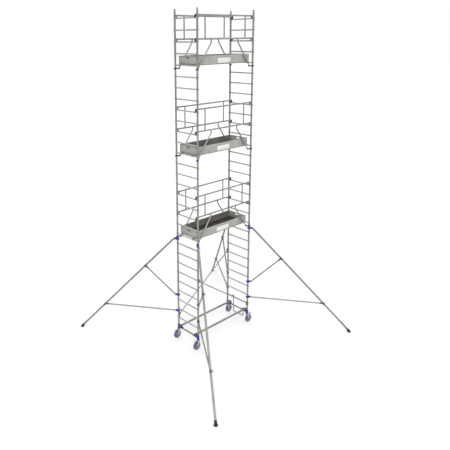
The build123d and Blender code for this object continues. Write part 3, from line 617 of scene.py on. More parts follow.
def castorBrackets():
    blue, black, stem = bmesh.new(), bmesh.new(), bmesh.new()
    spec = bracketSpec
    for spot in corners.values():
        x, y = spot.x, spot.y
        inward = -1 if y > 0 else 1
        r, low, high = spec["sleeve"], spec["low"], spec["high"]
        turned(black, [(r + 0.0002, low + 0.0004), (r + 0.0022, low + 0.0004), (r + 0.0028, low + 0.003),
                       (r + 0.0028, low + 0.015), (r + 0.0022, low + 0.018), (r + 0.0002, low + 0.018)],
               (x, y, 0), (0, 0, 1), 32)
        turned(blue, [(spec["bore"], low), (r, low), (r + 0.0015, low + 0.002), (r + 0.0015, low + 0.010),
                      (r, low + 0.013), (r - 0.001, (low + high) / 2), (r, high - 0.013),
                      (r + 0.0015, high - 0.010), (r + 0.0015, high - 0.002), (r, high),
                      (spec["bore"], high)], (x, y, 0), (0, 0, 1), 36)
        cheek = [(0.012, 0.262), (0.026, 0.262), (0.044, 0.2885), (spec["armEnd"], 0.2885),
                 (spec["armEnd"], 0.3215), (0.112, 0.3255), (0.100, 0.345), (0.060, 0.345), (0.040, 0.330),
                 (0.028, 0.352), (0.012, 0.352)]
        for side in (-1, 1):
            slabOf(blue, [(inward * v, z) for v, z in cheek], 0.0065,
                   Matrix.Translation((x + side * spec["cheek"], y, 0)) @ lengthways, press=(0.0045, -0.0012))
        brick(blue, (x, y + inward * 0.0865, 0.3232), (0.0535, 0.104, 0.0055))
        for v in (0.050, 0.128):  # stiffening webs beside the strap
            brick(blue, (x, y + inward * v, 0.3275), (0.044, 0.004, 0.012))
        turned(blue, [(spec["ringBore"], -0.0165), (spec["ring"] - 0.001, -0.0165), (spec["ring"], -0.0150),
                      (spec["ring"], -0.0050), (spec["ring"] + 0.0012, -0.0035),
                      (spec["ring"] + 0.0012, 0.0035), (spec["ring"], 0.0050), (spec["ring"], 0.0150),
                      (spec["ring"] - 0.001, 0.0165), (spec["ringBore"], 0.0165)],
               (x, y + inward * spec["tubeIn"], spec["tubeUp"]), (1, 0, 0), 32)
        for z in (0.270, 0.336):  # bolts through the sleeve
            for way in (-1, 1):
                turned(blue, [(0, 0.0062), (0.0052, 0.0058), (0.0066, 0.0030), (0.0066, 0)],
                       (x + way * 0.0265, y, z), (way, 0, 0), 14)
        nose = [(0.1392, 0.2885), (0.1470, 0.2900), (0.1498, 0.2960), (0.1498, 0.3170), (0.1470, 0.3235),
                (0.1392, 0.3255)]
        for side in (-1, 1):
            slabOf(black, [(inward * v, z) for v, z in nose], 0.0075,
                   Matrix.Translation((x + side * 0.0240, y, 0)) @ lengthways)
        slabOf(black, [(inward * v, z) for v, z in [(0.1392, 0.3205), (0.1480, 0.3205), (0.1470, 0.3235),
                                                    (0.1392, 0.3255)]], 0.048,
               Matrix.Translation((x, y, 0)) @ lengthways)
        turned(stem, [(0, 0.3255), (0.0078, 0.3255), (0.0078, 0.3300), (0.0050, 0.3310), (0.0050, 0.3500),
                      (0, 0.3500)], (x, y + inward * spec["knob"], 0), (0, 0, 1), 18)
        starKnob(black, (x, y + inward * spec["knob"], 0.3455), (0, 0, 1), 0.014, 0.020)
    settle("castorBrackets", blue, "blueCasting", "tower", ["castor_brackets"], bevel=0.0009)
    settle("bracketCaps", black, "blackPlastic", "tower", ["castor_brackets"], bevel=0.0008)
    settle("bracketStems", stem, "zincPlate", "tower", ["castor_brackets"])


def starKnob(bm, spot, direction, size, rise):
    turned(bm, [(0, 0), (0.0048, 0), (0.0048, rise * 0.45), (0, rise * 0.45)], spot, direction, 14)
    outline = [(size * (1.0 if n % 4 in (0, 1) else 0.80) * math.cos(math.tau * n / 24),
                size * (1.0 if n % 4 in (0, 1) else 0.80) * math.sin(math.tau * n / 24)) for n in range(24)]
    along = Vector(direction).normalized()
    slabOf(bm, outline, rise * 0.5, facing(Vector(spot) + along * rise * 0.68, direction))
    turned(bm, [(0, 0.002), (size * 0.5, 0.0012), (size * 0.62, -0.001), (0, -0.001)],
           Vector(spot) + along * rise * 0.93, direction, 18)


castorBrackets()


def baseTubes():
    low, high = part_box("base_tubes")
    bm, plugs = bmesh.new(), bmesh.new()
    y, z = high.y - 0.025, (low.z + high.z) / 2
    for side in (-1, 1):
        tubeRun(bm, [(low.x, side * y, z), (high.x, side * y, z)], 0.025, sides=32, mouth=0.02)
        for way, x in ((-1, low.x), (1, high.x)):
            turned(plugs, [(0, -0.012), (0.0205, -0.012), (0.0205, 0), (0.0235, 0.0002), (0.0235, 0.0012),
                           (0.020, 0.0026), (0, 0.0032)], (x, side * y, z), (way, 0, 0), 28)
    settle("baseTubes", bm, "tubeAluminium", "tower", ["base_tubes"])
    settle("baseTubePlugs", plugs, "blackPlastic", "tower", ["base_tubes"])


baseTubes()
print("base made")

# diagonal braces
braceSpec = {"tube": 0.0125, "claw": 0.030, "bore": 0.0224, "jawApart": 0.035, "jaw": 0.0165, "reach": 0.050,
             "lowRung": 0.55, "highRung": 1.80, "backLift": 0.060}


def braces():
    tubes, claws = bmesh.new(), bmesh.new()
    spec = braceSpec
    runs = [(Vector((-halfBay, -halfWidth, spec["highRung"])),
             Vector((halfBay, -halfWidth, spec["lowRung"]))),
            (Vector((-halfBay, halfWidth, spec["lowRung"] + spec["backLift"])),
             Vector((halfBay, halfWidth, spec["highRung"] + 0.7 * spec["backLift"])))]
    for start, end in runs:
        along = (end - start).normalized()
        tubeRun(tubes, [start + along * spec["reach"], end - along * spec["reach"]], spec["tube"], sides=20)
        for here, there in ((start, end), (end, start)):
            way = 1 if there.x > here.x else -1
            heading = (there - here).normalized()
            jaw = arcOf((0, 0), spec["claw"], -102, 102, 18) + arcOf((0, 0), spec["bore"], 100, -100, 16)
            for lift in (-spec["jawApart"], spec["jawApart"]):
                slabOf(claws, [(way * u, v) for u, v in jaw], spec["jaw"],
                       Matrix.Translation((here.x, here.y, here.z + lift)), press=(0.0018, -0.0008))
            spine = [(0.0236, -0.043), (0.0350, -0.043), (0.0435, -0.033), (0.0435, 0.033), (0.0350, 0.043),
                     (0.0236, 0.043)]
            slabOf(claws, [(way * u, v) for u, v in spine], 0.024, sideways(*here), press=(0.003, -0.0015))
            turned(claws, [(0.01255, 0.040), (0.0152, 0.040), (0.0165, 0.043), (0.0165, 0.086),
                           (0.0152, 0.0915), (0.01255, 0.0915)], here, heading, 22)
            for n in (0.056, 0.074):  # rivets through tube and socket
                for side in (-1, 1):
                    turned(claws, [(0, 0.0026), (0.003, 0.0022), (0.0042, 0)],
                           here + heading * n + Vector((0, side * 0.0160, 0)), (0, side, 0), 12)
            pawl = [(0.030, -0.012), (0.0425, -0.017), (0.047, -0.006), (0.047, 0.013), (0.040, 0.018),
                    (0.030, 0.012)]
            slabOf(claws, [(way * u, v) for u, v in pawl], 0.007,
                   sideways(here.x, here.y - 0.0162 * (1 if here.y < 0 else -1), here.z))
    settle("braceTubes", tubes, "tubeAluminium", "tower", ["brace_tubes"])
    settle("braceClaws", claws, "oliveClaw", "tower", ["brace_claws"], bevel=0.0009)


braces()

# access stirrup
stirrupSpec = {"tube": 0.0125, "step": 0.105, "left": 0.165, "right": -0.185, "hook": 0.030}


def stirrup():
    spec = stirrupSpec
    out = halfBay + 0.0348
    rungTop = tower["firstRung"] + tower["rung"] + spec["tube"] + 0.0006
    barTop = tower["barHeight"] + tower["bar"] + spec["tube"] + 0.0006
    behind = (halfBay - 0.0325, halfBay - 0.0355)
    bm = bmesh.new()
    tubeRun(bm, [(behind[0], spec["left"], rungTop - spec["hook"]), (behind[0], spec["left"], rungTop),
                 (out, spec["left"], rungTop), (out, spec["left"], spec["step"]),
                 (out, spec["right"], spec["step"]), (out, spec["right"], barTop),
                 (behind[1], spec["right"], barTop), (behind[1], spec["right"], barTop - spec["hook"])],
            spec["tube"], bend=0.024, sides=22, steps=7)
    settle("stirrup", bm, "railAluminium", "tower", ["stirrup"])
    sleeves = bmesh.new()
    for y, top in ((spec["left"], rungTop), (spec["right"], barTop)):
        turned(sleeves, [(0.0126, 0.040), (0.0142, 0.041), (0.0146, 0.046), (0.0146, 0.088),
                         (0.0142, 0.092), (0.0126, 0.093)], (out, y, top - 0.13), (0, 0, 1), 22)
    for n in range(7):  # anti-slip ridges on the step
        turned(sleeves, [(0.0126, -0.003), (0.0140, -0.0018), (0.0140, 0.0018), (0.0126, 0.003)],
               (out, -0.09 + n * 0.026, spec["step"]), (0, 1, 0), 20)
    settle("stirrupGrips", sleeves, "blackPlastic", "tower", ["stirrup"])


stirrup()
print("braces and stirrup made")

# platforms
platformSpec = {"half": 0.283, "board": 0.012, "boardLow": 0.020, "boardTop": 0.205, "endLow": 0.032,
                "endInset": 0.020, "seam": 0.070, "strip": 0.040, "deckTop": 0.050, "ply": 0.010,
                "beamLow": 0.002, "hookAt": 0.200, "slot": 0.110, "slotHigh": 0.030,
                "slotLevel": 0.160, "label": (-0.196, 0.210, 0.034, 0.142),
                "joists": (-0.62, -0.39, -0.16)}


def platform(number, base):
    spec = platformSpec
    node = f"platform_{number}"
    boardsLow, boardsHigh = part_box(f"{node}_toeboards")
    start, stop = boardsLow.x, boardsHigh.x
    endFace = stop - spec["endInset"]
    inner = spec["half"] - spec["board"]
    left, right = start + spec["board"] + 0.0005, endFace - spec["board"] - 0.0005
    top, under = base + spec["deckTop"] - spec["ply"], base + spec["beamLow"]
    hingeY, hingeZ = inner - 0.008, base + spec["deckTop"] + 0.003
    lidStart, lidEnd = spec["seam"] + 0.002, right - spec["strip"]
    barrels = [lidStart + 0.09, (lidStart + lidEnd) / 2, lidEnd - 0.09]

    # carrying frame: channel beams, cross beams and hooks over the rungs
    bm = bmesh.new()
    channel = [(-0.015, 0), (0.015, 0), (0.015, 0.0026), (-0.0124, 0.0026), (-0.0124, 0.0354),
               (0.015, 0.0354), (0.015, 0.038), (-0.015, 0.038)]
    for side in (-1, 1):
        slabOf(bm, [(-side * v, z) for v, z in channel], right - left - 0.001,
               Matrix.Translation(((left + right) / 2, side * (inner - 0.0152), under)) @ lengthways)
    for x, wide in ((left + 0.015, 0.030), (spec["seam"], 0.030), (right - 0.026, 0.052)):
        w = wide / 2
        box = [(-w, 0), (w, 0), (w, 0.038), (-w, 0.038)]
        slabOf(bm, box, 2 * inner - 0.0315, sideways(x, 0, under), press=None)
    for x in spec["joists"]:
        slabOf(bm, [(-0.011, 0.006), (0.011, 0.006), (0.011, 0.009), (0.0015, 0.009), (0.0015, 0.035),
                    (0.011, 0.035), (0.011, 0.038), (-0.011, 0.038), (-0.011, 0.035), (-0.0015, 0.035),
                    (-0.0015, 0.009), (-0.011, 0.009)], 2 * inner - 0.0315, sideways(x, 0, under))
    for way, inside in ((-1, -left), (1, right)):
        reach = halfBay
        hook = [(inside + 0.004, 0.0045), (inside + 0.004, 0.0295), (reach - 0.002, 0.0300)]
        hook += arcOf((reach, 0.004), 0.0258, 88, 0, 8) + [(reach + 0.0258, -0.0105),
                                                           (reach + 0.0222, -0.0138),
                                                           (reach + 0.0182, -0.0138)]
        hook += arcOf((reach, 0), 0.0174, 0, 165, 12)
        for y in (-spec["hookAt"], spec["hookAt"]):
            slabOf(bm, [(way * u, z) for u, z in hook], 0.040, sideways(0, y, base), press=(0.0035, -0.0025))
            turned(bm, [(0, 0), (0.006, 0), (0.0055, 0.003), (0, 0.0042)],
                   (way * (inside + 0.012), y - 0.0195, base + 0.017), (0, -1, 0), 14)
    for x in barrels:
        for turn in (-1, 1):
            edge = x + turn * 0.0363
            lug = [(-0.005, -0.014), (0.0078, -0.014), (0.0078, 0), (0.0045, 0.004), (-0.002, 0.0045),
                   (-0.005, 0.001)]
            slabOf(bm, lug, 0.0118, Matrix.Translation((edge, hingeY, hingeZ)) @ lengthways)
        turned(bm, [(0, -0.040), (0.0024, -0.040), (0.0024, 0.040), (0, 0.040)], (x, hingeY, hingeZ),
               (1, 0, 0), 12)
    for y0, spans in ((-inner + 0.0075, [(left, right)]), (inner - 0.0030, [(left, spec["seam"] - 0.002)])):
        for x0, x1 in spans:  # edge strips beside the ply
            size = 0.0135 if y0 < 0 else 0.0055
            brick(bm, ((x0 + x1) / 2, y0, base + spec["deckTop"] - 0.0035), (x1 - x0 - 0.001, size, 0.011))
    settle(f"platformFrame.{number}", bm, "railAluminium", "tower", [f"{node}_frame"], bevel=0.0008)

    # fixed deck
    bm = bmesh.new()
    middle = base + spec["deckTop"] - spec["ply"] / 2
    for x0, x1 in ((left + 0.0005, spec["seam"] - 0.002), (lidEnd + 0.002, right - 0.0005)):
        y0, y1 = -inner + 0.0148, inner - 0.0062
        brick(bm, ((x0 + x1) / 2, (y0 + y1) / 2, middle), (x1 - x0, y1 - y0, spec["ply"] - 0.0004))
    settle(f"deckPly.{number}", bm, "filmFacedPly", "tower", [f"{node}_deck"], bevel=0.0009)
    bm = bmesh.new()
    for x in (left + 0.022, *spec["joists"], spec["seam"] - 0.016):
        for n in range(5):
            y = -0.235 + n * 0.1175
            turned(bm, [(0, 0.0011), (0.0035, 0.0009), (0.0058, 0), (0.0058, -0.001), (0, -0.001)],
                   (x, y, base + spec["deckTop"] - 0.0002), (0, 0, 1), 14)
    brick(bm, (spec["seam"], -0.004, base + spec["deckTop"] - 0.0004), (0.0036, 2 * inner - 0.040, 0.0040))
    brick(bm, (lidEnd + 0.001, -0.004, base + spec["deckTop"] - 0.0012), (0.0016, 2 * inner - 0.040, 0.0036))
    settle(f"deckRivets.{number}", bm, "zincPlate", "tower", [f"{node}_deck"])

    # hatch lid with its barrels and finger latch
    bm = bmesh.new()
    y0, y1 = -inner + 0.0150, hingeY - 0.0085
    brick(bm, ((lidStart + lidEnd) / 2, (y0 + y1) / 2, middle + 0.0001),
          (lidEnd - lidStart - 0.001, y1 - y0, spec["ply"] - 0.0006))
    settle(f"hatchPly.{number}", bm, "filmFacedPly", f"hatch_{number}", [f"{node}_hatch"], bevel=0.0009)
    bm = bmesh.new()
    deck = base + spec["deckTop"]
    for x in barrels:
        turned(bm, [(0.0026, -0.0295), (0.0050, -0.0295), (0.0050, 0.0295), (0.0026, 0.0295)],
               (x, hingeY, hingeZ), (1, 0, 0), 18)
        leaf = [(-0.030, -0.046), (0.030, -0.046), (0.030, -0.0035), (-0.030, -0.0035)]
        slabOf(bm, leaf, 0.0022, Matrix.Translation((x, hingeY, deck + 0.0009)))
        for u in (-0.019, 0.019):
            for v in (-0.036, -0.018):
                turned(bm, [(0, 0.0016), (0.0026, 0.0013), (0.0040, 0)], (x + u, hingeY + v, deck + 0.0018),
                       (0, 0, 1), 12)
    for x in (lidStart + 0.004, lidEnd - 0.004):
        brick(bm, (x, (y0 + y1) / 2, deck - 0.0005), (0.0055, y1 - y0 - 0.002, 0.0026))
    latchX, latchY = (lidStart + lidEnd) / 2, y0 + 0.062
    plate = arcOf((0.030, 0), 0.024, -90, 90, 8) + arcOf((-0.030, 0), 0.024, 90, 270, 8)
    slabOf(bm, plate, 0.0022, Matrix.Translation((latchX, latchY, deck + 0.0009)), press=(0.006, -0.0012))
    tubeRun(bm, [(latchX - 0.030, latchY, deck), (latchX - 0.030, latchY, deck + 0.0075),
                 (latchX + 0.030, latchY, deck + 0.0075), (latchX + 0.030, latchY, deck)], 0.0028,
            bend=0.005, sides=10, mouth=0)
    settle(f"hatchFittings.{number}", bm, "darkCoupler", f"hatch_{number}", [f"{node}_hatch"], bevel=0.0003)

    # toe boards: ribbed extrusions outside, thin dark sheets inside as painted shade on the inner faces
    bm, innerShade, plates = bmesh.new(), bmesh.new(), bmesh.new()
    low, high, t = base + spec["boardLow"], base + spec["boardTop"], spec["board"] / 2
    length, centre = stop - start, (start + stop) / 2

    def profile(bottom):
        outer = [(t, bottom), (t, bottom + 0.012), (t - 0.0018, bottom + 0.014), (t - 0.0018, bottom + 0.020)]
        step = (high - bottom - 0.046) / 4
        for n in range(4):
            z = bottom + 0.020 + n * step
            outer += [(t - 0.0018, z + 0.003), (t - 0.0008, z + 0.005), (t - 0.0008, z + step - 0.005),
                      (t - 0.0018, z + step - 0.003)]
        outer += [(t - 0.0018, high - 0.020), (t, high - 0.018), (t, high - 0.0015), (t - 0.0015, high)]
        return outer + [(-t + 0.0015, high), (-t, high - 0.0015), (-t, high - 0.012),
                        (-t + 0.002, high - 0.014), (-t + 0.002, bottom + 0.014), (-t, bottom + 0.012),
                        (-t, bottom)]

    for side in (-1, 1):
        slabOf(bm, [(side * v, z) for v, z in profile(low)], length - 0.001,
               Matrix.Translation((centre, side * (spec["half"] - t), 0)) @ lengthways)
        # a thin dark sheet on each long board's inner face: painted shade inside the platform
        brick(innerShade, ((left + right) / 2, side * (inner - 0.0006 + 0.0014), (low + high) / 2 + 0.002),
              (right - left - 0.003, 0.0022, high - low - 0.032))
    for way, face in ((-1, start), (1, endFace)):
        endBoard(bm, face, way, base + spec["endLow"], high, inner - 0.001, base + spec["slotLevel"])
        for side in (-1, 1):  # riveted corner brackets
            angle = [(0, 0), (-way * 0.026, 0), (-way * 0.026, -side * 0.0016),
                     (-way * 0.0016, -side * 0.0016), (-way * 0.0016, -side * 0.026), (0, -side * 0.026)]
            slabOf(plates, angle, high - low - 0.060,
                   Matrix.Translation((face - way * (spec["board"] + 0.0002), side * (inner - 0.0002),
                                       (low + high) / 2)))
            for z in (low + 0.045, (low + high) / 2, high - 0.040):
                turned(plates, [(0, 0.0018), (0.0026, 0.0014), (0.0040, 0), (0, 0)],
                       (face - way * 0.024, side * (spec["half"] + 0.0001), z), (0, side, 0), 12)
    settle(f"toeBoards.{number}", bm, "boardAluminium", "tower", [f"{node}_toeboards"], bevel=0.0006)
    # the dark inner sheets: painted shade
    settle(f"toeBoardInnerShade.{number}", innerShade, "boardInnerShade", "tower", [f"{node}_toeboards"])
    settle(f"toeBoardBrackets.{number}", plates, "zincPlate", "tower", [f"{node}_toeboards"])
    x0, x1, z0, z1 = spec["label"]
    bm = bmesh.new()
    brick(bm, ((x0 + x1) / 2, -spec["half"] + 0.0004, base + (z0 + z1) / 2), (x1 - x0, 0.0034, z1 - z0))
    for x in (x0 + 0.012, x1 - 0.012):
        for z in (z0 + 0.010, z1 - 0.010):
            turned(bm, [(0, 0.0014), (0.0022, 0.0011), (0.0034, 0)], (x, -spec["half"] - 0.0012, base + z),
                   (0, -1, 0), 12)
    settle(f"labelPlate.{number}", bm, "labelPlate", "tower", [f"{node}_toeboards"], bevel=0.0007)


def endBoard(bm, face, way, low, high, half, slotLevel):  # end board with its hand slot
    spec = platformSpec
    reach = (spec["slot"] - spec["slotHigh"]) / 2
    radius = spec["slotHigh"] / 2
    outer = [(-half, low), (half, low), (half, high), (-half, high)]
    slot = arcOf((reach, slotLevel), radius, -90, 90, 10) + arcOf((-reach, slotLevel), radius, 90, 270, 10)
    loops = []
    for outline in (outer, slot):
        verts = [bm.verts.new((y, z, 0)) for y, z in outline]
        loops += [bm.edges.new((a, b)) for a, b in zip(verts, verts[1:] + verts[:1])]
    filled = bmesh.ops.triangle_fill(bm, use_beauty=True, edges=loops)["geom"]
    faces = [g for g in filled if isinstance(g, bmesh.types.BMFace)]
    grown = bmesh.ops.extrude_face_region(bm, geom=faces)["geom"]
    lifted = [g for g in grown if isinstance(g, bmesh.types.BMVert)]
    bmesh.ops.translate(bm, verts=lifted, vec=(0, 0, -way * (spec["board"] - 0.001)))
    moved = list({v for f in faces for v in f.verts} | set(lifted))
    bmesh.ops.transform(bm, matrix=Matrix.Translation((face - way * 0.0005, 0, 0)) @ lengthways, verts=moved)
    for z, tall in ((high - 0.006, 0.0115), (low + 0.008, 0.014)):  # rolled edges
        brick(bm, (face - way * 0.0011, 0, z), (0.0021, 2 * half - 0.002, tall))


for number, base in enumerate(deckRungs, 1):
    platform(number, base)
print("platforms made")

# stabilisers
stabiliserSpec = {"footOut": (1.540, 2.090), "main": 0.024, "strut": 0.0175,
                  "clampHeights": (2.665, 1.180, 0.740),
                  "pivots": (0.092, 0.077, 0.077), "joints": (0.295, 0.735), "toe": 0.040, "ring": 0.033,
                  "bore": 0.0224, "tall": 0.056, "cheek": 0.005, "coupler": 0.031, "foot": 0.045}


def stabiliser(number):
    spec = stabiliserSpec
    spot = corners[number]
    body = f"stabiliser_{number}"
    sx, sy = (1 if spot.x > 0 else -1), (1 if spot.y > 0 else -1)
    outX, outY = spec["footOut"]
    swing = math.atan2(outY * sy, outX * sx)
    reach = math.hypot(outX, outY)
    outward, across = Vector((math.cos(swing), math.sin(swing),
                              0)), Vector((-math.sin(swing), math.cos(swing), 0))

    def at(d, z, side=0.0):
        return Vector((spot.x, spot.y, 0)) + outward * d + across * side + Vector((0, 0, z))

    upright = Matrix(((outward.x, 0, across.x, 0), (outward.y, 0, across.y, 0), (0, 1, 0, 0), (0, 0, 0, 1)))
    top, toe = Vector((spec["pivots"][0], spec["clampHeights"][0])), Vector((reach, spec["toe"]))
    run = (toe - top).normalized()
    joints = [top + (toe - top) * share for share in spec["joints"]]
    pivots = [Vector((spec["pivots"][n], spec["clampHeights"][n])) for n in (1, 2)]

    bm = bmesh.new()
    head = top - run * 0.022
    tubeRun(bm, [at(*head), at(*toe)], spec["main"], sides=30, mouth=0.004)
    for joint, pivot in zip(joints, pivots):
        slope = (joint - pivot).normalized()
        near, far = pivot - slope * 0.020, joint - slope * (spec["main"] + 0.001)
        tubeRun(bm, [at(*near), at(*far)], spec["strut"], sides=24, mouth=0.003)
    settle(f"stabiliserTubes.{number}", bm, "tubeAluminium", body, [f"{body}_tubes"])

    blue, metal, black = bmesh.new(), bmesh.new(), bmesh.new()
    for n, z in enumerate(spec["clampHeights"]):
        r, h = spec["ring"], spec["tall"] / 2
        turned(blue, [(spec["bore"], z - h), (r - 0.003, z - h), (r - 0.001, z - h + 0.002),
                      (r - 0.001, z - h + 0.010), (r - 0.004, z - h + 0.013), (r - 0.004, z + h - 0.013),
                      (r - 0.001, z + h - 0.010), (r - 0.001, z + h - 0.002), (r - 0.003, z + h),
                      (spec["bore"], z + h)], at(0, 0), (0, 0, 1), 36)
        girth = (spec["main"] if n == 0 else spec["strut"]) + 0.001
        far = spec["pivots"][n]
        cheek = [(0.0205, -0.020), (0.050, -0.020)] + arcOf((far, 0), 0.0155, -90, 90,
                                                            10) + [(0.050, 0.020), (0.0205, 0.020)]
        for side in (-1, 1):
            slabOf(blue, cheek, spec["cheek"],
                   Matrix.Translation(at(0, z, side * (girth + spec["cheek"] / 2))) @ upright,
                   press=(0.004, 0.0010))
            turned(metal, [(0, 0), (0.0125, 0), (0.0125, 0.0012), (0, 0.0012)],
                   at(far, z, side * (girth + spec["cheek"])), across * side, 20)
            hexNut(metal, at(far, z, side * (girth + spec["cheek"] + 0.0034)), across * side, 0.0095, 0.0044)
        for v in (-0.013, 0.013):  # clamp ears on the far side of the upright
            slabOf(blue, [(-0.0285, -0.017), (-0.041, -0.017), (-0.045, -0.012), (-0.045, 0.012),
                          (-0.041, 0.017), (-0.0285, 0.017)] [::-1], 0.006,
                   Matrix.Translation(at(0, z, v * 0.62)) @ upright)
        turned(metal, [(0, -0.017), (0.0042, -0.017), (0.0042, 0.017), (0, 0.017)], at(-0.0375, z), across,
               14)
        hexNut(metal, at(-0.0375, z, 0.0135), across, 0.0080, 0.005)
        if n == 0:
            starKnob(black, at(-0.0375, z, -0.012), -across, 0.017, 0.026)
        turned(metal, [(0, -girth - 0.006), (0.0060, -girth - 0.006), (0.0060, girth + 0.006),
                       (0, girth + 0.006)], at(far, z), across, 16)
    settle(f"stabiliserClamps.{number}", blue, "blueCasting", body, [f"{body}_clamps"], bevel=0.0009)
    settle(f"stabiliserBolts.{number}", metal, "zincPlate", body, [f"{body}_clamps"], bevel=0.0003)

    collar, knobs = bmesh.new(), bmesh.new()
    for joint, pivot in zip(joints, pivots):
        slope, along = (joint - pivot).normalized(), at(*run) - at(0, 0)
        c = spec["coupler"]
        turned(collar, [(0.0242, -0.035), (c - 0.003, -0.035), (c - 0.0005, -0.032), (c - 0.0005, -0.024),
                        (c - 0.003, -0.021), (c - 0.003, 0.021), (c - 0.0005, 0.024), (c - 0.0005, 0.032),
                        (c - 0.003, 0.035), (0.0242, 0.035)], at(*joint), along, 32)
        heading = at(*slope) - at(0, 0)
        turned(collar, [(0.0177, -0.086), (0.0212, -0.086), (0.0222, -0.083), (0.0222, -0.040),
                        (0.0212, -0.027), (0.0177, -0.027)], at(*joint), heading, 26)
        side = 1 if sx * sy > 0 else -1  # the knobs face the ends of the tower
        turned(collar, [(0, 0), (0.0060, 0), (0.0055, 0.0085), (0, 0.0085)],
               at(joint.x, joint.y, side * 0.0285), across * side, 14)
        starKnob(knobs, at(joint.x, joint.y, side * 0.0360), across * side, 0.015, 0.022)
    settle(f"stabiliserCouplers.{number}", collar, "darkCoupler", body, [f"{body}_clamps"], bevel=0.0007)
    settle(f"stabiliserKnobs.{number}", knobs, "blackPlastic", body, [f"{body}_clamps"], bevel=0.0007)

    bm = bmesh.new()
    centre = at(reach + 0.010, 0)
    f = spec["foot"]
    profileOfFoot = [(0, 0.0030), (f - 0.012, 0.0030), (f - 0.008, 0.0004), (f - 0.003, 0.0004),
                     (f - 0.0006, 0.0030), (f - 0.0006, 0.0085), (f - 0.003, 0.0100), (f - 0.003, 0.0125),
                     (f - 0.0006, 0.0140), (f - 0.0006, 0.0200), (f - 0.0035, 0.0238), (f - 0.0075, 0.0252),
                     (0.031, 0.0440), (0.0295, 0.0485), (0, 0.0495)]
    turned(bm, profileOfFoot, centre, (0, 0, 1), 40)
    back, ahead = toe - run * 0.058, toe + run * 0.003
    alongFoot = at(*run) - at(0, 0)
    turned(bm, [(0.0242, -0.058), (0.0285, -0.058), (0.0305, -0.054), (0.0305, -0.046), (0.0290, -0.043),
                (0.0305, -0.040), (0.0305, -0.032), (0.0290, -0.029), (0.0305, -0.026), (0.0305, 0.001),
                (0.0242, 0.001)], at(*toe), alongFoot, 32)
    settle(f"stabiliserFoot.{number}", bm, "footRubber", body, [f"{body}_foot"], bevel=0.0006)


for number in corners:
    stabiliser(number)
print("stabilisers made")

# camera, floor and light
cameraSpec = {"spot": (-8.674, -8.463, 7.40), "azimuth": -41.549, "pitch": 13.857, "roll": -0.733,
              "focal": 517.7, "middle": (178, 165), "frame": 450, "sensor": 36}


def addCamera():
    data = bpy.data.cameras.new("viewCamera")
    camera = bpy.data.objects.new("viewCamera", data)
    bpy.context.scene.collection.objects.link(camera)
    a, e = math.radians(cameraSpec["azimuth"]), math.radians(cameraSpec["pitch"])
    back = Vector((math.sin(a) * math.cos(e), -math.cos(a) * math.cos(e), math.sin(e)))
    roll = Matrix.Rotation(math.radians(cameraSpec["roll"]), 3, "Z")
    aim = (-back).to_track_quat("-Z", "Y").to_matrix() @ roll
    camera.matrix_world = Matrix.Translation(cameraSpec["spot"]) @ aim.to_4x4()
    data.sensor_width = cameraSpec["sensor"]
    data.lens = cameraSpec["focal"] / cameraSpec["frame"] * cameraSpec["sensor"]
    half = cameraSpec["frame"] / 2
    data.shift_x = (half - cameraSpec["middle"][0]) / cameraSpec["frame"]
    data.shift_y = -(half - cameraSpec["middle"][1]) / cameraSpec["frame"]
    data.clip_end = 400
    bpy.context.scene.camera = camera


studio = {"floorRadius": 160, "floorTone": (0.46, 0.46, 0.46), "floorGlow": 0.38, "skyTop": (1, 1, 1),
          "skyLow": (0.16, 0.16, 0.165), "skyPower": 1.0}


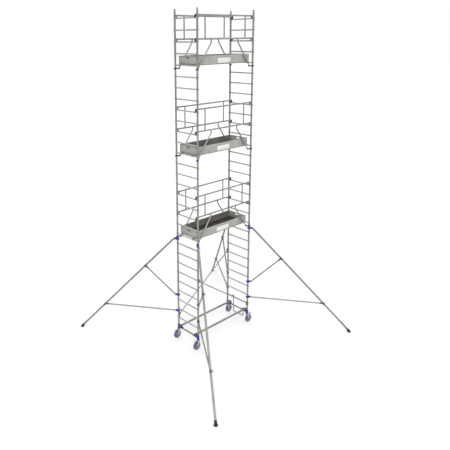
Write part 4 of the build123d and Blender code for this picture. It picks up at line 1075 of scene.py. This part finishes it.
def addFloor():
    bm = bmesh.new()
    bmesh.ops.create_circle(bm, cap_ends=True, segments=96, radius=studio["floorRadius"])
    mesh = bpy.data.meshes.new("studioFloor")
    bm.to_mesh(mesh)
    bm.free()
    floor = bpy.data.objects.new("studioFloor", mesh)
    bpy.context.scene.collection.objects.link(floor)
    paint = bpy.data.materials.new("floorPaint")
    paint.use_nodes = True
    shader = paint.node_tree.nodes["Principled BSDF"]
    shader.inputs["Base Color"].default_value = (*studio["floorTone"], 1)
    shader.inputs["Roughness"].default_value = 0.95
    shader.inputs["Emission Color"].default_value = (1, 1, 1, 1)
    shader.inputs["Emission Strength"].default_value = studio["floorGlow"]
    mesh.materials.append(paint)
    floor.location.z = -0.002


lamps = {  # where the light comes from, its spread in degrees, its strength
    "keyLamp": ((-12, -11, 13), 26, 2.3),
    "fillLamp": ((13, -7, 8), 40, 0.55),
    "rimLamp": ((3, 14, 12), 30, 0.6),
}


def addLight():
    for name, (spot, spread, strength) in lamps.items():
        data = bpy.data.lights.new(name, "SUN")
        data.energy, data.angle = strength, math.radians(spread)
        lamp = bpy.data.objects.new(name, data)
        bpy.context.scene.collection.objects.link(lamp)
        aim = (-Vector(spot)).to_track_quat("-Z", "Y").to_matrix().to_4x4()
        lamp.matrix_world = Matrix.Translation(spot) @ aim
    world = bpy.data.worlds.new("studioSky")
    bpy.context.scene.world = world
    world.use_nodes = True
    tree = world.node_tree
    backdrop = tree.nodes["Background"]
    coords = nodeOf(tree, "ShaderNodeTexCoord", (-900, 0))
    split = nodeOf(tree, "ShaderNodeSeparateXYZ", (-700, 0))
    rise = nodeOf(tree, "ShaderNodeMapRange", (-500, 0))
    rise.inputs["From Min"].default_value, rise.inputs["From Max"].default_value = -0.1, 0.75
    shade = nodeOf(tree, "ShaderNodeMix", (-300, 0), data_type="RGBA")
    shade.inputs[6].default_value = (*studio["skyLow"], 1)
    shade.inputs[7].default_value = (*studio["skyTop"], 1)
    path = nodeOf(tree, "ShaderNodeLightPath", (-300, 300))
    seen = nodeOf(tree, "ShaderNodeMix", (-100, 0), data_type="RGBA")
    seen.inputs[7].default_value = (1, 1, 1, 1)
    tree.links.new(coords.outputs["Generated"], split.inputs["Vector"])
    tree.links.new(split.outputs["Z"], rise.inputs["Value"])
    tree.links.new(rise.outputs["Result"], shade.inputs["Factor"])
    tree.links.new(path.outputs["Is Camera Ray"], seen.inputs["Factor"])
    tree.links.new(shade.outputs[2], seen.inputs[6])
    tree.links.new(seen.outputs[2], backdrop.inputs["Color"])
    backdrop.inputs["Strength"].default_value = studio["skyPower"]
    bpy.context.scene.view_settings.view_transform = "Standard"


addCamera()
addFloor()
addLight()
print("camera and light set")
